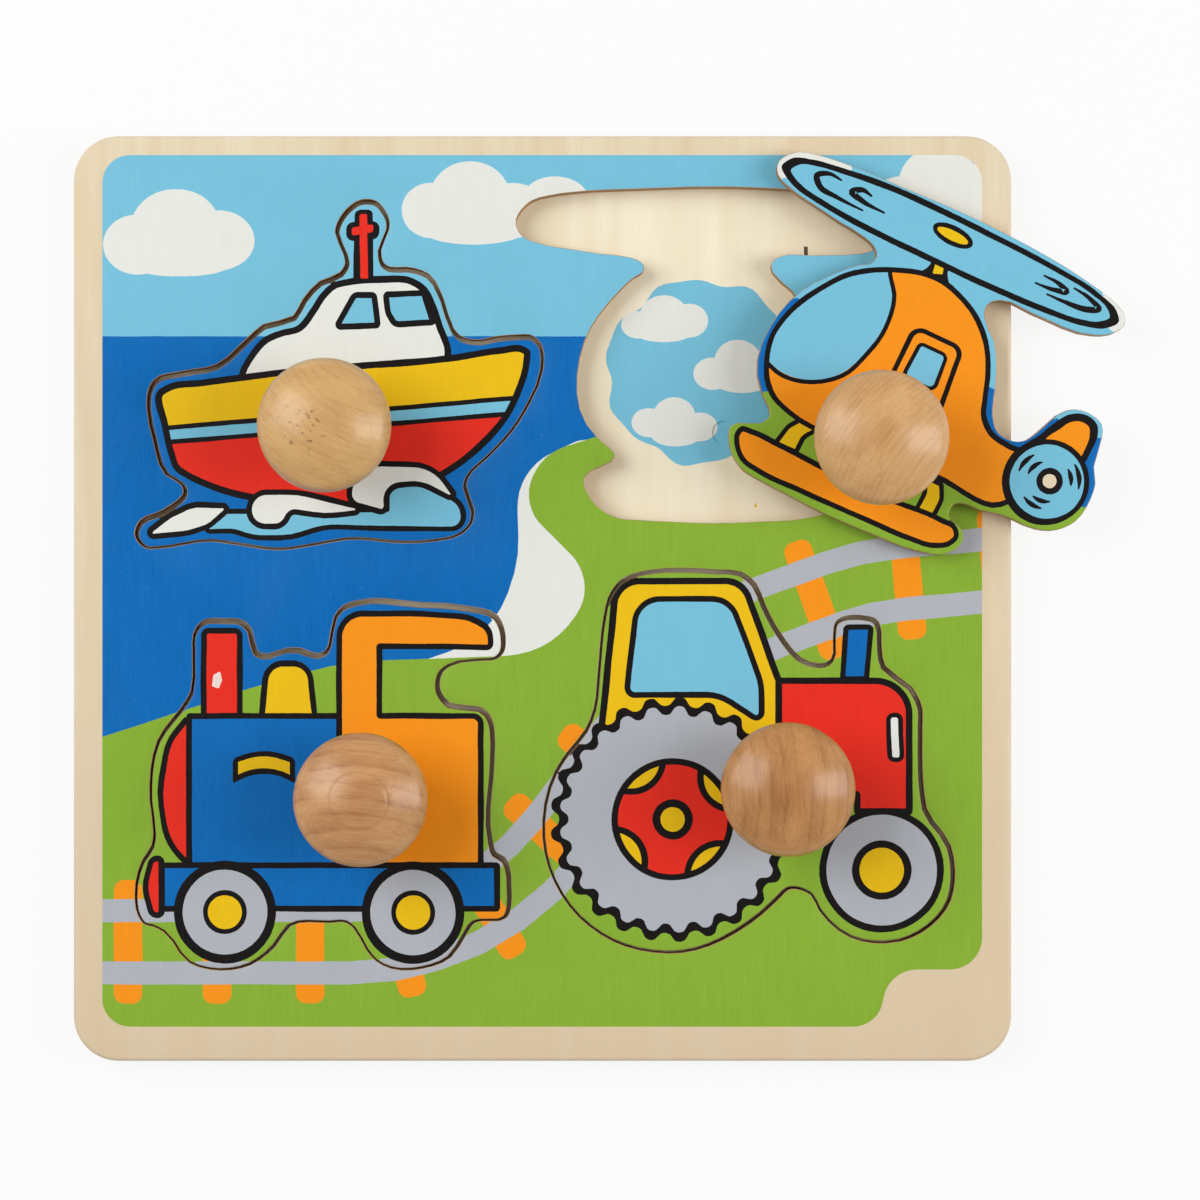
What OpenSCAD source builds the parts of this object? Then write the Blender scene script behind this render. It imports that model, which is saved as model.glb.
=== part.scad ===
/* [Board] */
// Width of the board, along X
board_w = 220; // [180:1:280]
// Depth of the board, along Y
board_d = 217; // [180:1:280]
// Rounding of the board's four corners
board_corner_r = 10.5; // [3:0.5:14]
// Thickness of the backing board
base_t = 3; // [2:0.5:8]
// Thickness of the printed top board
frame_t = 5; // [3.5:0.5:9]
// Width of the saw cut between a piece and the board
kerf = 0.8; // [0.4:0.1:1.2]

/* [Pieces] */
// Thickness of the four pieces
piece_t = 5; // [3.5:0.5:9]
// Width of the boat
boat_w = 95; // [85:0.5:102]
// Height of the boat, from wave to masthead
boat_h = 81.5; // [73:0.5:89]
// Width of the train
train_w = 87.5; // [80:0.5:95]
// Height of the train, from wheels to roof
train_h = 86; // [78:0.5:93]
// Width of the tractor
tractor_w = 96; // [88:0.5:102]
// Height of the tractor, from wheels to cab roof
tractor_h = 89.5; // [81:0.5:96]
// Width of the helicopter
helicopter_w = 100; // [92:0.5:106]
// Height of the helicopter, from skid to rotor
helicopter_h = 78; // [71:0.5:84]
// Turn of the helicopter where it lies beside its recess, in degrees
helicopter_turn = -24.9; // [-35:0.1:-10]

/* [Knobs] */
// Largest diameter of a knob
knob_d = 31; // [26:0.5:36]
// Height of a knob above its piece
knob_h = 25; // [21:0.5:32]
// Radius of the broad crown on top
knob_crown_r = 23; // [20:0.5:26]
// Radius of the rim around the crown
knob_rim_r = 5; // [3:0.5:6]
// Diameter of the narrow neck
knob_neck_d = 14; // [11:0.5:16]
// Radius of the hollows above and below the neck
knob_neck_r = 4; // [2:0.5:5]
// Diameter of the foot that stands on the piece
knob_foot_d = 17; // [15.5:0.5:20]

/* [Screws] */
// Diameter of the screw's shank
screw_d = 3; // [2.5:0.1:3.5]
// Length of the screw with its head
screw_l = 16; // [13:0.5:18]
// Diameter of the countersunk head
screw_head_d = 5.5; // [5:0.1:7]
// Height of the straight edge round the head
screw_head_edge = 0.3; // [0.2:0.05:0.5]
// Length of the screw's point
screw_point_l = 2.5; // [1.5:0.1:3]
// Depth of the cross recess in the head
screw_cross_depth = 1.1; // [0.8:0.1:1.4]
// Width of one arm of the cross recess
screw_cross_w = 0.7; // [0.5:0.05:0.9]
// Length of the cross recess from tip to tip
screw_cross_l = 2.8; // [2.4:0.1:3.2]
// Depth of the round reliefs under the screw heads
relief_depth = 0.3; // [0.2:0.05:1]
// Diameter of the round reliefs under the screw heads
relief_d = 5.6; // [5.2:0.1:9]

/* [Hidden] */
$fn = 64;

// How far a cut runs past the face that it opens
overrun = 1;
// Clearance round a screw's shank in the piece
shank_clearance = 0.15;
// Clearance round the screw in its pilot hole and under its head
screw_fit = 0.03;
// Depth of the pilot hole beyond the screw's point
pilot_spare = 1;
// Height of the straight side of a knob's foot
knob_foot_edge = 1;
// Rounding of a knob's foot
knob_foot_round = 0.6;
// Largest angle of one step along a rounded corner or a cut line
arc_step = 11;
// Longest step along a cut line
line_step = 4;
// Share of an edge that its two roundings may fill
filled_share = 0.97;
// Width and depth of the smallest board that takes the pieces at full size
full_size_w = 205;
full_size_d = 203;

// Heights along a knob, as shares of its height: where the sides of the rim meet, and the neck's ends
knob_shoulder_share = 0.767;
knob_underside_share = 0.55;
knob_neck_top_share = 0.35;
knob_neck_low_share = 0.12;
// Where the crown's arc would meet its slope, as a share of the knob's radius
knob_crown_share = 0.477;

// Centre of each cut line, as shares of the board from its lower left corner
boat_place_share = [0.283, 0.742];
train_place_share = [0.266, 0.298];
tractor_place_share = [0.72, 0.325];
helicopter_place_share = [0.701, 0.763];
// Centre of the helicopter where it lies on top of the board, in the same way
helicopter_out_share = [0.895, 0.742];
// How far a seated piece has slid in its recess, as shares of the saw cut
boat_slid_share = [0.15, -0.45];
train_slid_share = [-0.3, -0.45];
tractor_slid_share = [-0.3, -0.25];

// Place of each knob, as shares of its piece from the lower left corner
boat_knob_share = [0.475, 0.35];
train_knob_share = [0.615, 0.475];
tractor_knob_share = [0.59, 0.435];
helicopter_knob_share = [0.485, 0.27];

// Points that each cut line runs through as one smooth curve, clockwise, as shares of the piece's
// width and height from its lower left corner
boat_line_shares = [
  [0.565, 1], [0.59, 0.995], [0.61, 0.97], [0.62, 0.945], [0.62, 0.92], [0.6, 0.86], [0.61, 0.815],
  [0.625, 0.805], [0.665, 0.805], [0.72, 0.785], [0.755, 0.715], [0.78, 0.63], [0.795, 0.61],
  [0.85, 0.595], [0.89, 0.605], [0.945, 0.61], [0.97, 0.61], [0.99, 0.595], [1, 0.515], [0.97, 0.425],
  [0.925, 0.34], [0.865, 0.265], [0.815, 0.205], [0.81, 0.18], [0.83, 0.11], [0.825, 0.075],
  [0.8, 0.045], [0.735, 0.025], [0.665, 0.02], [0.52, 0.03], [0.445, 0.015], [0.35, 0], [0.25, 0.015],
  [0.185, 0.025], [0.055, 0.005], [0.025, 0.005], [0, 0.04], [0.01, 0.075], [0.065, 0.105],
  [0.12, 0.17], [0.115, 0.185], [0.075, 0.215], [0.045, 0.315], [0.03, 0.405], [0.035, 0.46],
  [0.045, 0.48], [0.115, 0.505], [0.2, 0.525], [0.275, 0.6], [0.315, 0.64], [0.39, 0.665],
  [0.415, 0.715], [0.455, 0.765], [0.505, 0.79], [0.52, 0.82], [0.515, 0.85], [0.495, 0.91]
];
train_line_shares = [
  [0.235, 0.95], [0.285, 0.945], [0.305, 0.925], [0.32, 0.865], [0.335, 0.855], [0.405, 0.87],
  [0.44, 0.87], [0.485, 0.855], [0.51, 0.865], [0.52, 0.885], [0.535, 0.96], [0.555, 0.985], [0.595, 1],
  [0.755, 0.995], [0.88, 0.985], [0.965, 0.96], [0.985, 0.895], [0.98, 0.865], [0.965, 0.85],
  [0.925, 0.845], [0.84, 0.83], [0.82, 0.815], [0.81, 0.76], [0.84, 0.72], [0.92, 0.71], [0.94, 0.695],
  [0.95, 0.675], [0.955, 0.65], [0.955, 0.57], [0.95, 0.35], [0.96, 0.315], [0.985, 0.3], [0.995, 0.28],
  [1, 0.225], [1, 0.175], [0.99, 0.145], [0.97, 0.135], [0.925, 0.135], [0.905, 0.13], [0.88, 0.095],
  [0.84, 0.035], [0.765, 0.005], [0.685, 0.005], [0.645, 0.025], [0.62, 0.055], [0.585, 0.115],
  [0.565, 0.13], [0.52, 0.13], [0.41, 0.12], [0.37, 0.065], [0.305, 0.015], [0.225, 0], [0.145, 0.02],
  [0.075, 0.105], [0.045, 0.12], [0.025, 0.125], [0.01, 0.145], [0, 0.2], [0.02, 0.295], [0.045, 0.335],
  [0.05, 0.37], [0.04, 0.46], [0.06, 0.62], [0.14, 0.735], [0.15, 0.755], [0.155, 0.84], [0.165, 0.93],
  [0.18, 0.945]
];
tractor_line_shares = [
  [0.19, 0.97], [0.26, 0.995], [0.33, 1], [0.425, 0.995], [0.48, 0.99], [0.515, 0.96], [0.535, 0.91],
  [0.575, 0.83], [0.645, 0.755], [0.695, 0.755], [0.705, 0.765], [0.71, 0.82], [0.715, 0.86],
  [0.78, 0.875], [0.81, 0.865], [0.82, 0.835], [0.82, 0.815], [0.83, 0.745], [0.895, 0.69],
  [0.92, 0.635], [0.92, 0.59], [0.925, 0.41], [0.93, 0.375], [0.99, 0.275], [1, 0.21], [0.99, 0.135],
  [0.87, 0.03], [0.835, 0.025], [0.75, 0.04], [0.675, 0.11], [0.655, 0.15], [0.64, 0.16],
  [0.595, 0.165], [0.575, 0.145], [0.53, 0.1], [0.335, 0], [0.17, 0.03], [0.065, 0.12], [0.005, 0.26],
  [0, 0.34], [0.03, 0.47], [0.06, 0.52], [0.105, 0.58], [0.125, 0.635], [0.135, 0.73], [0.15, 0.88],
  [0.16, 0.925]
];
helicopter_line_shares = [
  [0, 0.895], [0.035, 0.96], [0.075, 0.975], [0.13, 0.985], [0.285, 0.995], [0.525, 1], [0.785, 0.97],
  [0.84, 0.955], [0.89, 0.925], [0.9, 0.9], [0.88, 0.85], [0.845, 0.825], [0.69, 0.805], [0.61, 0.8],
  [0.595, 0.785], [0.59, 0.77], [0.595, 0.745], [0.64, 0.69], [0.69, 0.56], [0.705, 0.5], [0.735, 0.45],
  [0.785, 0.45], [0.8, 0.465], [0.815, 0.5], [0.855, 0.595], [0.875, 0.61], [0.95, 0.6], [0.97, 0.515],
  [0.975, 0.475], [0.995, 0.43], [1, 0.38], [0.99, 0.3], [0.945, 0.24], [0.91, 0.225], [0.82, 0.22],
  [0.77, 0.205], [0.725, 0.2], [0.715, 0.19], [0.715, 0.16], [0.755, 0.14], [0.765, 0.125],
  [0.77, 0.105], [0.75, 0.05], [0.675, 0.015], [0.57, 0.005], [0.46, 0], [0.35, 0.005], [0.275, 0.01],
  [0.235, 0.015], [0.175, 0.07], [0.16, 0.13], [0.175, 0.15], [0.22, 0.175], [0.23, 0.195],
  [0.19, 0.255], [0.165, 0.295], [0.16, 0.54], [0.245, 0.695], [0.275, 0.73], [0.295, 0.745],
  [0.3, 0.77], [0.29, 0.785], [0.26, 0.8], [0.195, 0.81], [0.12, 0.825], [0.07, 0.835], [0.005, 0.875]
];

board_size = [board_w, board_d];

// A piece's box, drawn in to suit a board that is smaller than the full-size one
function fitted(w, h) = [w * min(1, board_w / full_size_w), h * min(1, board_d / full_size_d)];

boat_size = fitted(boat_w, boat_h);
train_size = fitted(train_w, train_h);
tractor_size = fitted(tractor_w, tractor_h);
helicopter_size = fitted(helicopter_w, helicopter_h);

// A point given in shares of a box, measured from the box's middle
function placed(size, at_share) = [size.x * (at_share.x - 1 / 2), size.y * (at_share.y - 1 / 2)];

boat_at = placed(board_size, boat_place_share);
train_at = placed(board_size, train_place_share);
tractor_at = placed(board_size, tractor_place_share);
helicopter_at = placed(board_size, helicopter_place_share);
helicopter_out_at = placed(board_size, helicopter_out_share);

boat_knob_at = placed(boat_size, boat_knob_share);
train_knob_at = placed(train_size, train_knob_share);
tractor_knob_at = placed(tractor_size, tractor_knob_share);
helicopter_knob_at = placed(helicopter_size, helicopter_knob_share);

function xy(c) = [c.x, c.y];
function after(c, i) = (i + 1) % len(c);
function before(c, i) = (i + len(c) - 1) % len(c);
function heading(a, b) = (xy(b) - xy(a)) / norm(xy(b) - xy(a));
function leftward(u) = [-u.y, u.x];
function turned(v, a) = [v.x * cos(a) - v.y * sin(a), v.x * sin(a) + v.y * cos(a)];

// How far the line turns right at corner i, in degrees
function bend(c, i) =
  let (u = heading(c[before(c, i)], c[i]), v = heading(c[i], c[after(c, i)]))
    atan2(-cross(u, v), u * v);
// Length of edge that the rounding of corner i takes
function reach(c, i) = c[i].z * abs(tan(bend(c, i) / 2));
// Below 1 where the edge after corner i is too short for the two roundings on it
function room(c, i) =
  let (
    need = reach(c, i) + reach(c, after(c, i)),
    edge = norm(xy(c[after(c, i)]) - xy(c[i]))
  )
    need > 0 ? min(1, filled_share * edge / need) : 1;
// Points of corner i
function corner_points(c, i) =
  let (
    u = heading(c[before(c, i)], c[i]),
    turn = bend(c, i),
    out = leftward(u),
    r = c[i].z * min(room(c, before(c, i)), room(c, i)),
    start = xy(c[i]) - u * r * abs(tan(turn / 2)),
    steps = ceil(abs(turn) / arc_step)
  )
    r > 0
      ? [for (k = [0:steps]) start - sign(turn) * r * (out - turned(out, -turn * k / steps))]
      : [xy(c[i])];
// A clockwise line through rounded corners
function rounded(c) = [for (i = [0:len(c) - 1]) each corner_points(c, i)];

// How far the smooth line runs on from point i for each millimetre of way, on both sides alike
function slope(p, i) =
  let (
    back = p[i] - p[before(p, i)],
    on = p[after(p, i)] - p[i]
  )
    (back * norm(on) / norm(back) + on * norm(back) / norm(on)) / (norm(back) + norm(on));
// A place on the way from a to b, which leaves along u and arrives along v
function on_way(a, b, u, v, t) =
  a + (b - a) * t * t * (3 - 2 * t) + (u * (1 - t) - v * t) * t * (1 - t);
// Points of the smooth line from point i up to the next one
function stretch(p, i) =
  let (
    a = p[i],
    b = p[after(p, i)],
    u = slope(p, i) * norm(b - a),
    v = slope(p, after(p, i)) * norm(b - a),
    turn = abs(atan2(cross(u, v), u * v)),
    steps = max(ceil(norm(b - a) / line_step), ceil(turn / arc_step))
  )
    [for (k = [0:steps - 1]) on_way(a, b, u, v, k / steps)];
// Point i of a clockwise line, moved outwards by grow
function moved(line, i, grow) =
  let (
    out = leftward(heading(line[before(line, i)], line[i])),
    next_out = leftward(heading(line[i], line[after(line, i)]))
  )
    line[i] + (out + next_out) * grow / (1 + out * next_out);
// The cut line of a piece of this size, moved outwards by grow
function cut_line(shares, size, grow) =
  let (
    points = [for (s = shares) placed(size, s)],
    line = [for (i = [0:len(points) - 1]) each stretch(points, i)]
  )
    [for (i = [0:len(line) - 1]) moved(line, i, grow)];

module plate(thickness) {
  inner_w = board_w - 2 * board_corner_r;
  inner_d = board_d - 2 * board_corner_r;
  linear_extrude(thickness) union() {
    square([board_w, inner_d], center = true);
    square([inner_w, board_d], center = true);
    for (x = [-inner_w, inner_w] / 2, y = [-inner_d, inner_d] / 2)
      translate([x, y]) circle(board_corner_r);
  }
}

module cut_out(shares, size, at) {
  translate([at.x, at.y, -overrun])
    linear_extrude(frame_t + 2 * overrun) polygon(cut_line(shares, size, kerf / 2));
}

module blank(shares, size, knob_at) {
  difference() {
    linear_extrude(piece_t) polygon(cut_line(shares, size, -kerf / 2));
    translate(knob_at) screw_hole();
  }
}

// The countersunk hole for a screw, from the underside of a piece
module screw_hole() {
  head_r = screw_head_d / 2 + screw_fit;
  hole_r = screw_d / 2 + shank_clearance;
  translate([0, 0, -overrun]) cylinder(h = piece_t + 2 * overrun, r = hole_r);
  translate([0, 0, -overrun]) cylinder(h = screw_head_edge + overrun, r = head_r);
  translate([0, 0, screw_head_edge]) cylinder(h = head_r - hole_r, r1 = head_r, r2 = hole_r);
}

module knob() {
  knob_r = knob_d / 2;
  neck_r = knob_neck_d / 2;
  foot_r = knob_foot_d / 2;
  pilot_depth = screw_l - piece_t + pilot_spare;
  profile = [
    [0, 0, 0],
    [0, knob_h, 0],
    [knob_r * knob_crown_share, knob_h, knob_crown_r],
    [knob_r, knob_h * knob_shoulder_share, knob_rim_r],
    [knob_r, knob_h * knob_underside_share, knob_rim_r],
    [neck_r, knob_h * knob_neck_top_share, knob_neck_r],
    [neck_r, knob_h * knob_neck_low_share, knob_neck_r],
    [foot_r, knob_foot_edge, knob_foot_round],
    [foot_r, 0, 0]
  ];
  color("burlywood") difference() {
    rotate_extrude() polygon(rounded(profile));
    translate([0, 0, -overrun]) cylinder(h = pilot_depth + overrun, r = screw_d / 2 + screw_fit);
  }
}

module screw() {
  head_r = screw_head_d / 2;
  shank_r = screw_d / 2;
  color("silver") difference() {
    union() {
      cylinder(h = screw_head_edge, r = head_r);
      translate([0, 0, screw_head_edge]) cylinder(h = head_r - shank_r, r1 = head_r, r2 = shank_r);
      cylinder(h = screw_l - screw_point_l, r = shank_r);
      translate([0, 0, screw_l - screw_point_l]) cylinder(h = screw_point_l, r1 = shank_r, r2 = 0);
    }
    for (angle = [0, 90])
      rotate(angle) translate([0, 0, (screw_cross_depth - overrun) / 2])
        cube([screw_cross_l, screw_cross_w, screw_cross_depth + overrun], center = true);
  }
}

// Each of these puts what it holds at the underside of its piece
module at_boat() {
  slid = kerf * boat_slid_share;
  translate([boat_at.x + slid.x, boat_at.y + slid.y, base_t]) children();
}

module at_train() {
  slid = kerf * train_slid_share;
  translate([train_at.x + slid.x, train_at.y + slid.y, base_t]) children();
}

module at_tractor() {
  slid = kerf * tractor_slid_share;
  translate([tractor_at.x + slid.x, tractor_at.y + slid.y, base_t]) children();
}

// The helicopter lies flat on top of the board, turned, half over its recess and over the board's edge
module at_helicopter() {
  translate([helicopter_out_at.x, helicopter_out_at.y, base_t + frame_t])
    rotate(helicopter_turn) children();
}

module base_board() {
  color("wheat") difference() {
    plate(base_t);
    for (spot = [boat_at + boat_knob_at, train_at + train_knob_at,
                 tractor_at + tractor_knob_at, helicopter_at + helicopter_knob_at])
      translate([spot.x, spot.y, base_t - relief_depth]) cylinder(h = relief_depth + overrun, d = relief_d);
  }
}

module frame_board() {
  color("yellowgreen") translate([0, 0, base_t]) difference() {
    plate(frame_t);
    cut_out(boat_line_shares, boat_size, boat_at);
    cut_out(train_line_shares, train_size, train_at);
    cut_out(tractor_line_shares, tractor_size, tractor_at);
    cut_out(helicopter_line_shares, helicopter_size, helicopter_at);
  }
}

module boat_piece() {
  color("crimson") at_boat() blank(boat_line_shares, boat_size, boat_knob_at);
}

module train_piece() {
  color("royalblue") at_train() blank(train_line_shares, train_size, train_knob_at);
}

module tractor_piece() {
  color("gold") at_tractor() blank(tractor_line_shares, tractor_size, tractor_knob_at);
}

module helicopter_piece() {
  color("darkorange") at_helicopter() blank(helicopter_line_shares, helicopter_size, helicopter_knob_at);
}

module on_piece(knob_at) {
  translate([knob_at.x, knob_at.y, piece_t]) knob();
}

module boat_knob() {
  at_boat() on_piece(boat_knob_at);
}

module train_knob() {
  at_train() on_piece(train_knob_at);
}

module tractor_knob() {
  at_tractor() on_piece(tractor_knob_at);
}

module helicopter_knob() {
  at_helicopter() on_piece(helicopter_knob_at);
}

module boat_screw() {
  at_boat() translate(boat_knob_at) screw();
}

module train_screw() {
  at_train() translate(train_knob_at) screw();
}

module tractor_screw() {
  at_tractor() translate(tractor_knob_at) screw();
}

module helicopter_screw() {
  at_helicopter() translate(helicopter_knob_at) screw();
}

base_board();
frame_board();
boat_piece();
train_piece();
tractor_piece();
helicopter_piece();
boat_knob();
train_knob();
tractor_knob();
helicopter_knob();
boat_screw();
train_screw();
tractor_screw();
helicopter_screw();
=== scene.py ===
import math

import bmesh
import bpy
from mathutils import Matrix, Vector, noise
from mathutils.geometry import delaunay_2d_cdt, interpolate_bezier


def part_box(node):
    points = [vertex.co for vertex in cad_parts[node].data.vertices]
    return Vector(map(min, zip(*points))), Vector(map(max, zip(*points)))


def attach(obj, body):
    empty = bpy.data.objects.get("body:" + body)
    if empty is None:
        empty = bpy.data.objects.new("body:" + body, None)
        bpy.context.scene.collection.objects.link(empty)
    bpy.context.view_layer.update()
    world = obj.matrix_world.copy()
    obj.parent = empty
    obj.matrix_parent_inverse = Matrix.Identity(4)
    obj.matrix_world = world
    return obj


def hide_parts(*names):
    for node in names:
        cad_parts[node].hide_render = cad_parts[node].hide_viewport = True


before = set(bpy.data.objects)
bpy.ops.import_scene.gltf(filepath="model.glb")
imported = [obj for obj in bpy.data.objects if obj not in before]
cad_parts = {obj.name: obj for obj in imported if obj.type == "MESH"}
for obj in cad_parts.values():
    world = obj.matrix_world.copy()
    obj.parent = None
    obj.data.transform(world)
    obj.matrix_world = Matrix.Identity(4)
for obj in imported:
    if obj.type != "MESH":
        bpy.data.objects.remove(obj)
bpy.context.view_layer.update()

mm = 0.001


# Lines. A line's corners are (x, y, rounding) in millimetres, or (x, y) where all of it is smooth.
# Closed lines run anticlockwise.

smoothing = {
    "arcStep": 9.0,         # degrees between the points of a rounding
    "edgeShare": 0.97,      # the most of an edge that its two roundings take
    "straight": 0.01,       # a smaller turn, in radians, stays a corner
    "curveSteps": 7,        # points from one corner of a smooth line to the next
}


def softened(corners):
    # roundings that don't fit on their edges are made smaller
    count = len(corners)
    reach = []
    for i, (x, y, radius) in enumerate(corners):
        inward = Vector((x - corners[i - 1][0], y - corners[i - 1][1]))
        outward = Vector((corners[(i + 1) % count][0] - x, corners[(i + 1) % count][1] - y))
        reach.append(radius * abs(math.tan(inward.angle_signed(outward) / 2)))
    rooms = []
    for i in range(count):
        onward = (i + 1) % count
        edge = math.dist(corners[i][:2], corners[onward][:2])
        need = reach[i] + reach[onward]
        rooms.append(min(1, smoothing["edgeShare"] * edge / need) if need > 0 else 1)
    return [(x, y, radius * min(rooms[i - 1], rooms[i])) for i, (x, y, radius) in enumerate(corners)]


def rounded(corners, grow=0.0, arcStep=smoothing["arcStep"]):
    # the points along a line whose corners are rounded, moved outwards by grow
    corners = softened(corners)
    count = len(corners)
    points = []
    for i, (x, y, radius) in enumerate(corners):
        tip = Vector((x, y))
        ahead = (tip - Vector(corners[i - 1][:2])).normalized()
        onward = (Vector(corners[(i + 1) % count][:2]) - tip).normalized()
        sideA = Vector((ahead.y, -ahead.x))
        sideB = Vector((onward.y, -onward.x))
        tip = tip + (sideA + sideB) * grow / (1 + sideA.dot(sideB))
        turn = -ahead.angle_signed(onward)
        bulge = 1 if turn > 0 else -1
        radius = max(0, radius + bulge * grow) if radius > 0 else 0
        if radius == 0 or abs(turn) < smoothing["straight"]:
            points.append(tip)
            continue
        start = tip - ahead * radius * math.tan(abs(turn) / 2)
        centre = start - bulge * radius * sideA
        steps = math.ceil(abs(turn) / math.radians(arcStep))
        for k in range(steps + 1):
            arm = bulge * radius * sideA
            arm.rotate(Matrix.Rotation(turn * k / steps, 2))
            points.append(centre + arm)
    return points


def slopeAt(before, here, ahead):
    back = here - before
    onward = ahead - here
    leaned = back * onward.length / back.length + onward * back.length / onward.length
    return leaned / (back.length + onward.length)


def curved(corners, closed=True):
    # a smooth line through the points
    steps = smoothing["curveSteps"]
    spots = [Vector(corner) for corner in corners]
    count = len(spots)
    points = []
    for i in range(count if closed else count - 1):
        here = spots[i]
        ahead = spots[(i + 1) % count]
        before = spots[i - 1] if closed or i > 0 else here * 2 - ahead
        beyond = spots[(i + 2) % count] if closed or i + 2 < count else ahead * 2 - here
        reach = (ahead - here).length / 3
        leave = here + slopeAt(before, here, ahead) * reach
        arrive = ahead - slopeAt(here, ahead, beyond) * reach
        stretch = interpolate_bezier(here, leave, arrive, ahead, steps + 1)
        points.extend(Vector(point[:2]) for point in stretch[:steps])
    if not closed:
        points.append(spots[-1])
    return points


def inset(loop, distance):
    # an anticlockwise loop moved inwards
    made = []
    for i, here in enumerate(loop):
        ahead = (here - loop[i - 1]).normalized()
        onward = (loop[(i + 1) % len(loop)] - here).normalized()
        leftA = Vector((-ahead.y, ahead.x))
        leftB = Vector((-onward.y, onward.x))
        made.append(here + (leftA + leftB) * distance / (1 + leftA.dot(leftB)))
    return made


def densified(line, step, closed=True):
    # the line with a point every step or closer
    made = []
    for here, ahead in zip(line, line[1:] + line[:1] if closed else line[1:]):
        parts = max(1, math.ceil((ahead - here).length / step))
        made.extend(here.lerp(ahead, k / parts) for k in range(parts))
    return made if closed else made + [line[-1]]


def arcPath(x, y, radiusX, radiusY, start, end, steps=14):
    # part of an ellipse, between two angles in degrees
    points = []
    for k in range(steps + 1):
        angle = math.radians(start + (end - start) * k / steps)
        points.append(Vector((x + radiusX * math.cos(angle), y + radiusY * math.sin(angle))))
    return points


def oval(x, y, radiusX, radiusY=None, grow=0.0, tilt=0.0, steps=72):
    radiusX += grow
    radiusY = radiusY + grow if radiusY else radiusX
    turn = Matrix.Rotation(math.radians(tilt), 2)
    ring = arcPath(0, 0, radiusX, radiusY, 0, 360, steps)[:-1]
    return [turn @ point + Vector((x, y)) for point in ring]


def toothed(x, y, radius, teeth, depth, roundness, steps=12):
    # a tyre's edge with lugs, squarer with less roundness
    points = []
    for k in range(teeth * steps):
        angle = math.tau * k / (teeth * steps)
        wave = math.cos(teeth * angle)
        reach = radius + depth * wave / (roundness + (1 - roundness) * abs(wave))
        points.append(Vector((x + reach * math.cos(angle), y + reach * math.sin(angle))))
    return points


def beside(path, aside):
    # the line that lies that far to the left of each point of an open path
    made = []
    for i, spot in enumerate(path):
        along = (path[min(i + 1, len(path) - 1)] - path[max(i - 1, 0)]).normalized()
        made.append(spot + Vector((-along.y, along.x)) * aside[i])
    return made


def ribbon(path, sideA, sideB):
    # the area between two lines that run beside an open path
    return beside(path, [sideA] * len(path)) + beside(path, [sideB] * len(path))[::-1]


pen = {
    "seed": 7,          # of all the wandering, so that every run draws the same edges
    "shake": 0.05,      # how far a printed edge wanders over a short way
    "shakeRate": 1.3,   # wanderings per millimetre
    "shakeSeed": 4.0,
    "sway": 0.12,       # how far it wanders over a long way, so that the black lines swell and thin
    "swayLength": 8.0,
    "step": 0.6,
    "blackSeed": 20.0,  # black and the colours wander each in their own way
    "colourSeed": 2.0,
    "endShare": 0.3,    # a stroke's width at its ends, as a share of that in its middle
    "fullness": 1.2,    # how quickly it thins towards them
}
noise.seed_set(pen["seed"])


def swelling(path, width):
    # a pen stroke that thins out at both ends
    halves = []
    for i in range(len(path)):
        swell = math.sin(math.pi * i / (len(path) - 1)) ** pen["fullness"]
        halves.append(width / 2 * (pen["endShare"] + (1 - pen["endShare"]) * swell))
    return beside(path, [-half for half in halves]) + beside(path, halves)[::-1]


def inkEdge(points, ink=None):
    seed = pen["blackSeed"] if ink == "black" else pen["colourSeed"]
    made = []
    for at in densified(points, pen["step"]):
        shake = noise.noise_vector(Vector((*at * pen["shakeRate"], pen["shakeSeed"])))
        sway = noise.noise_vector(Vector((*at / pen["swayLength"], seed)))
        made.append(at + shake.xy * pen["shake"] + sway.xy * pen["sway"])
    return made


# Layers of ink. Each is (ink, points, clip): it prints only inside clip, where that is given.

def spot(ink, points, clip=None):
    return (ink, inkEdge(points, ink), clip)


def drawn(shapes, line, clip=None, beyond=0.5):
    # shapes that share one black outline: every black first, then every colour
    # beyond is the share of the line that lies outside their corners
    layers = [spot("black", rounded(corners, line * beyond), clip) for ink, corners in shapes]
    return layers + [spot(ink, rounded(corners, line * (beyond - 1)), clip) for ink, corners in shapes]


def inOrder(figure):
    # a figure's simple shapes, each with its own line or else the figure's
    layers = []
    for ink, name, beyond in figure["order"]:
        line = figure.get(name + "Line", figure["line"])
        layers += drawn([(ink, figure[name])], line, beyond=beyond)
    return layers


def penned(ink, corners, line, clip=None):
    # a smooth shape through the outside of its black line
    outer = curved(corners)
    return [spot("black", outer, clip), spot(ink, inset(outer, line), clip)]


def disc(ink, x, y, radius, line, clip=None):
    inks = (("black", line / 2), (ink, -line / 2))
    return [spot(name, oval(x, y, radius, grow=grow), clip) for name, grow in inks]


def cloud(x, y, puffs):
    return [spot("white", oval(x + dx, y + dy, across, high)) for dx, dy, across, high in puffs]


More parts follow.
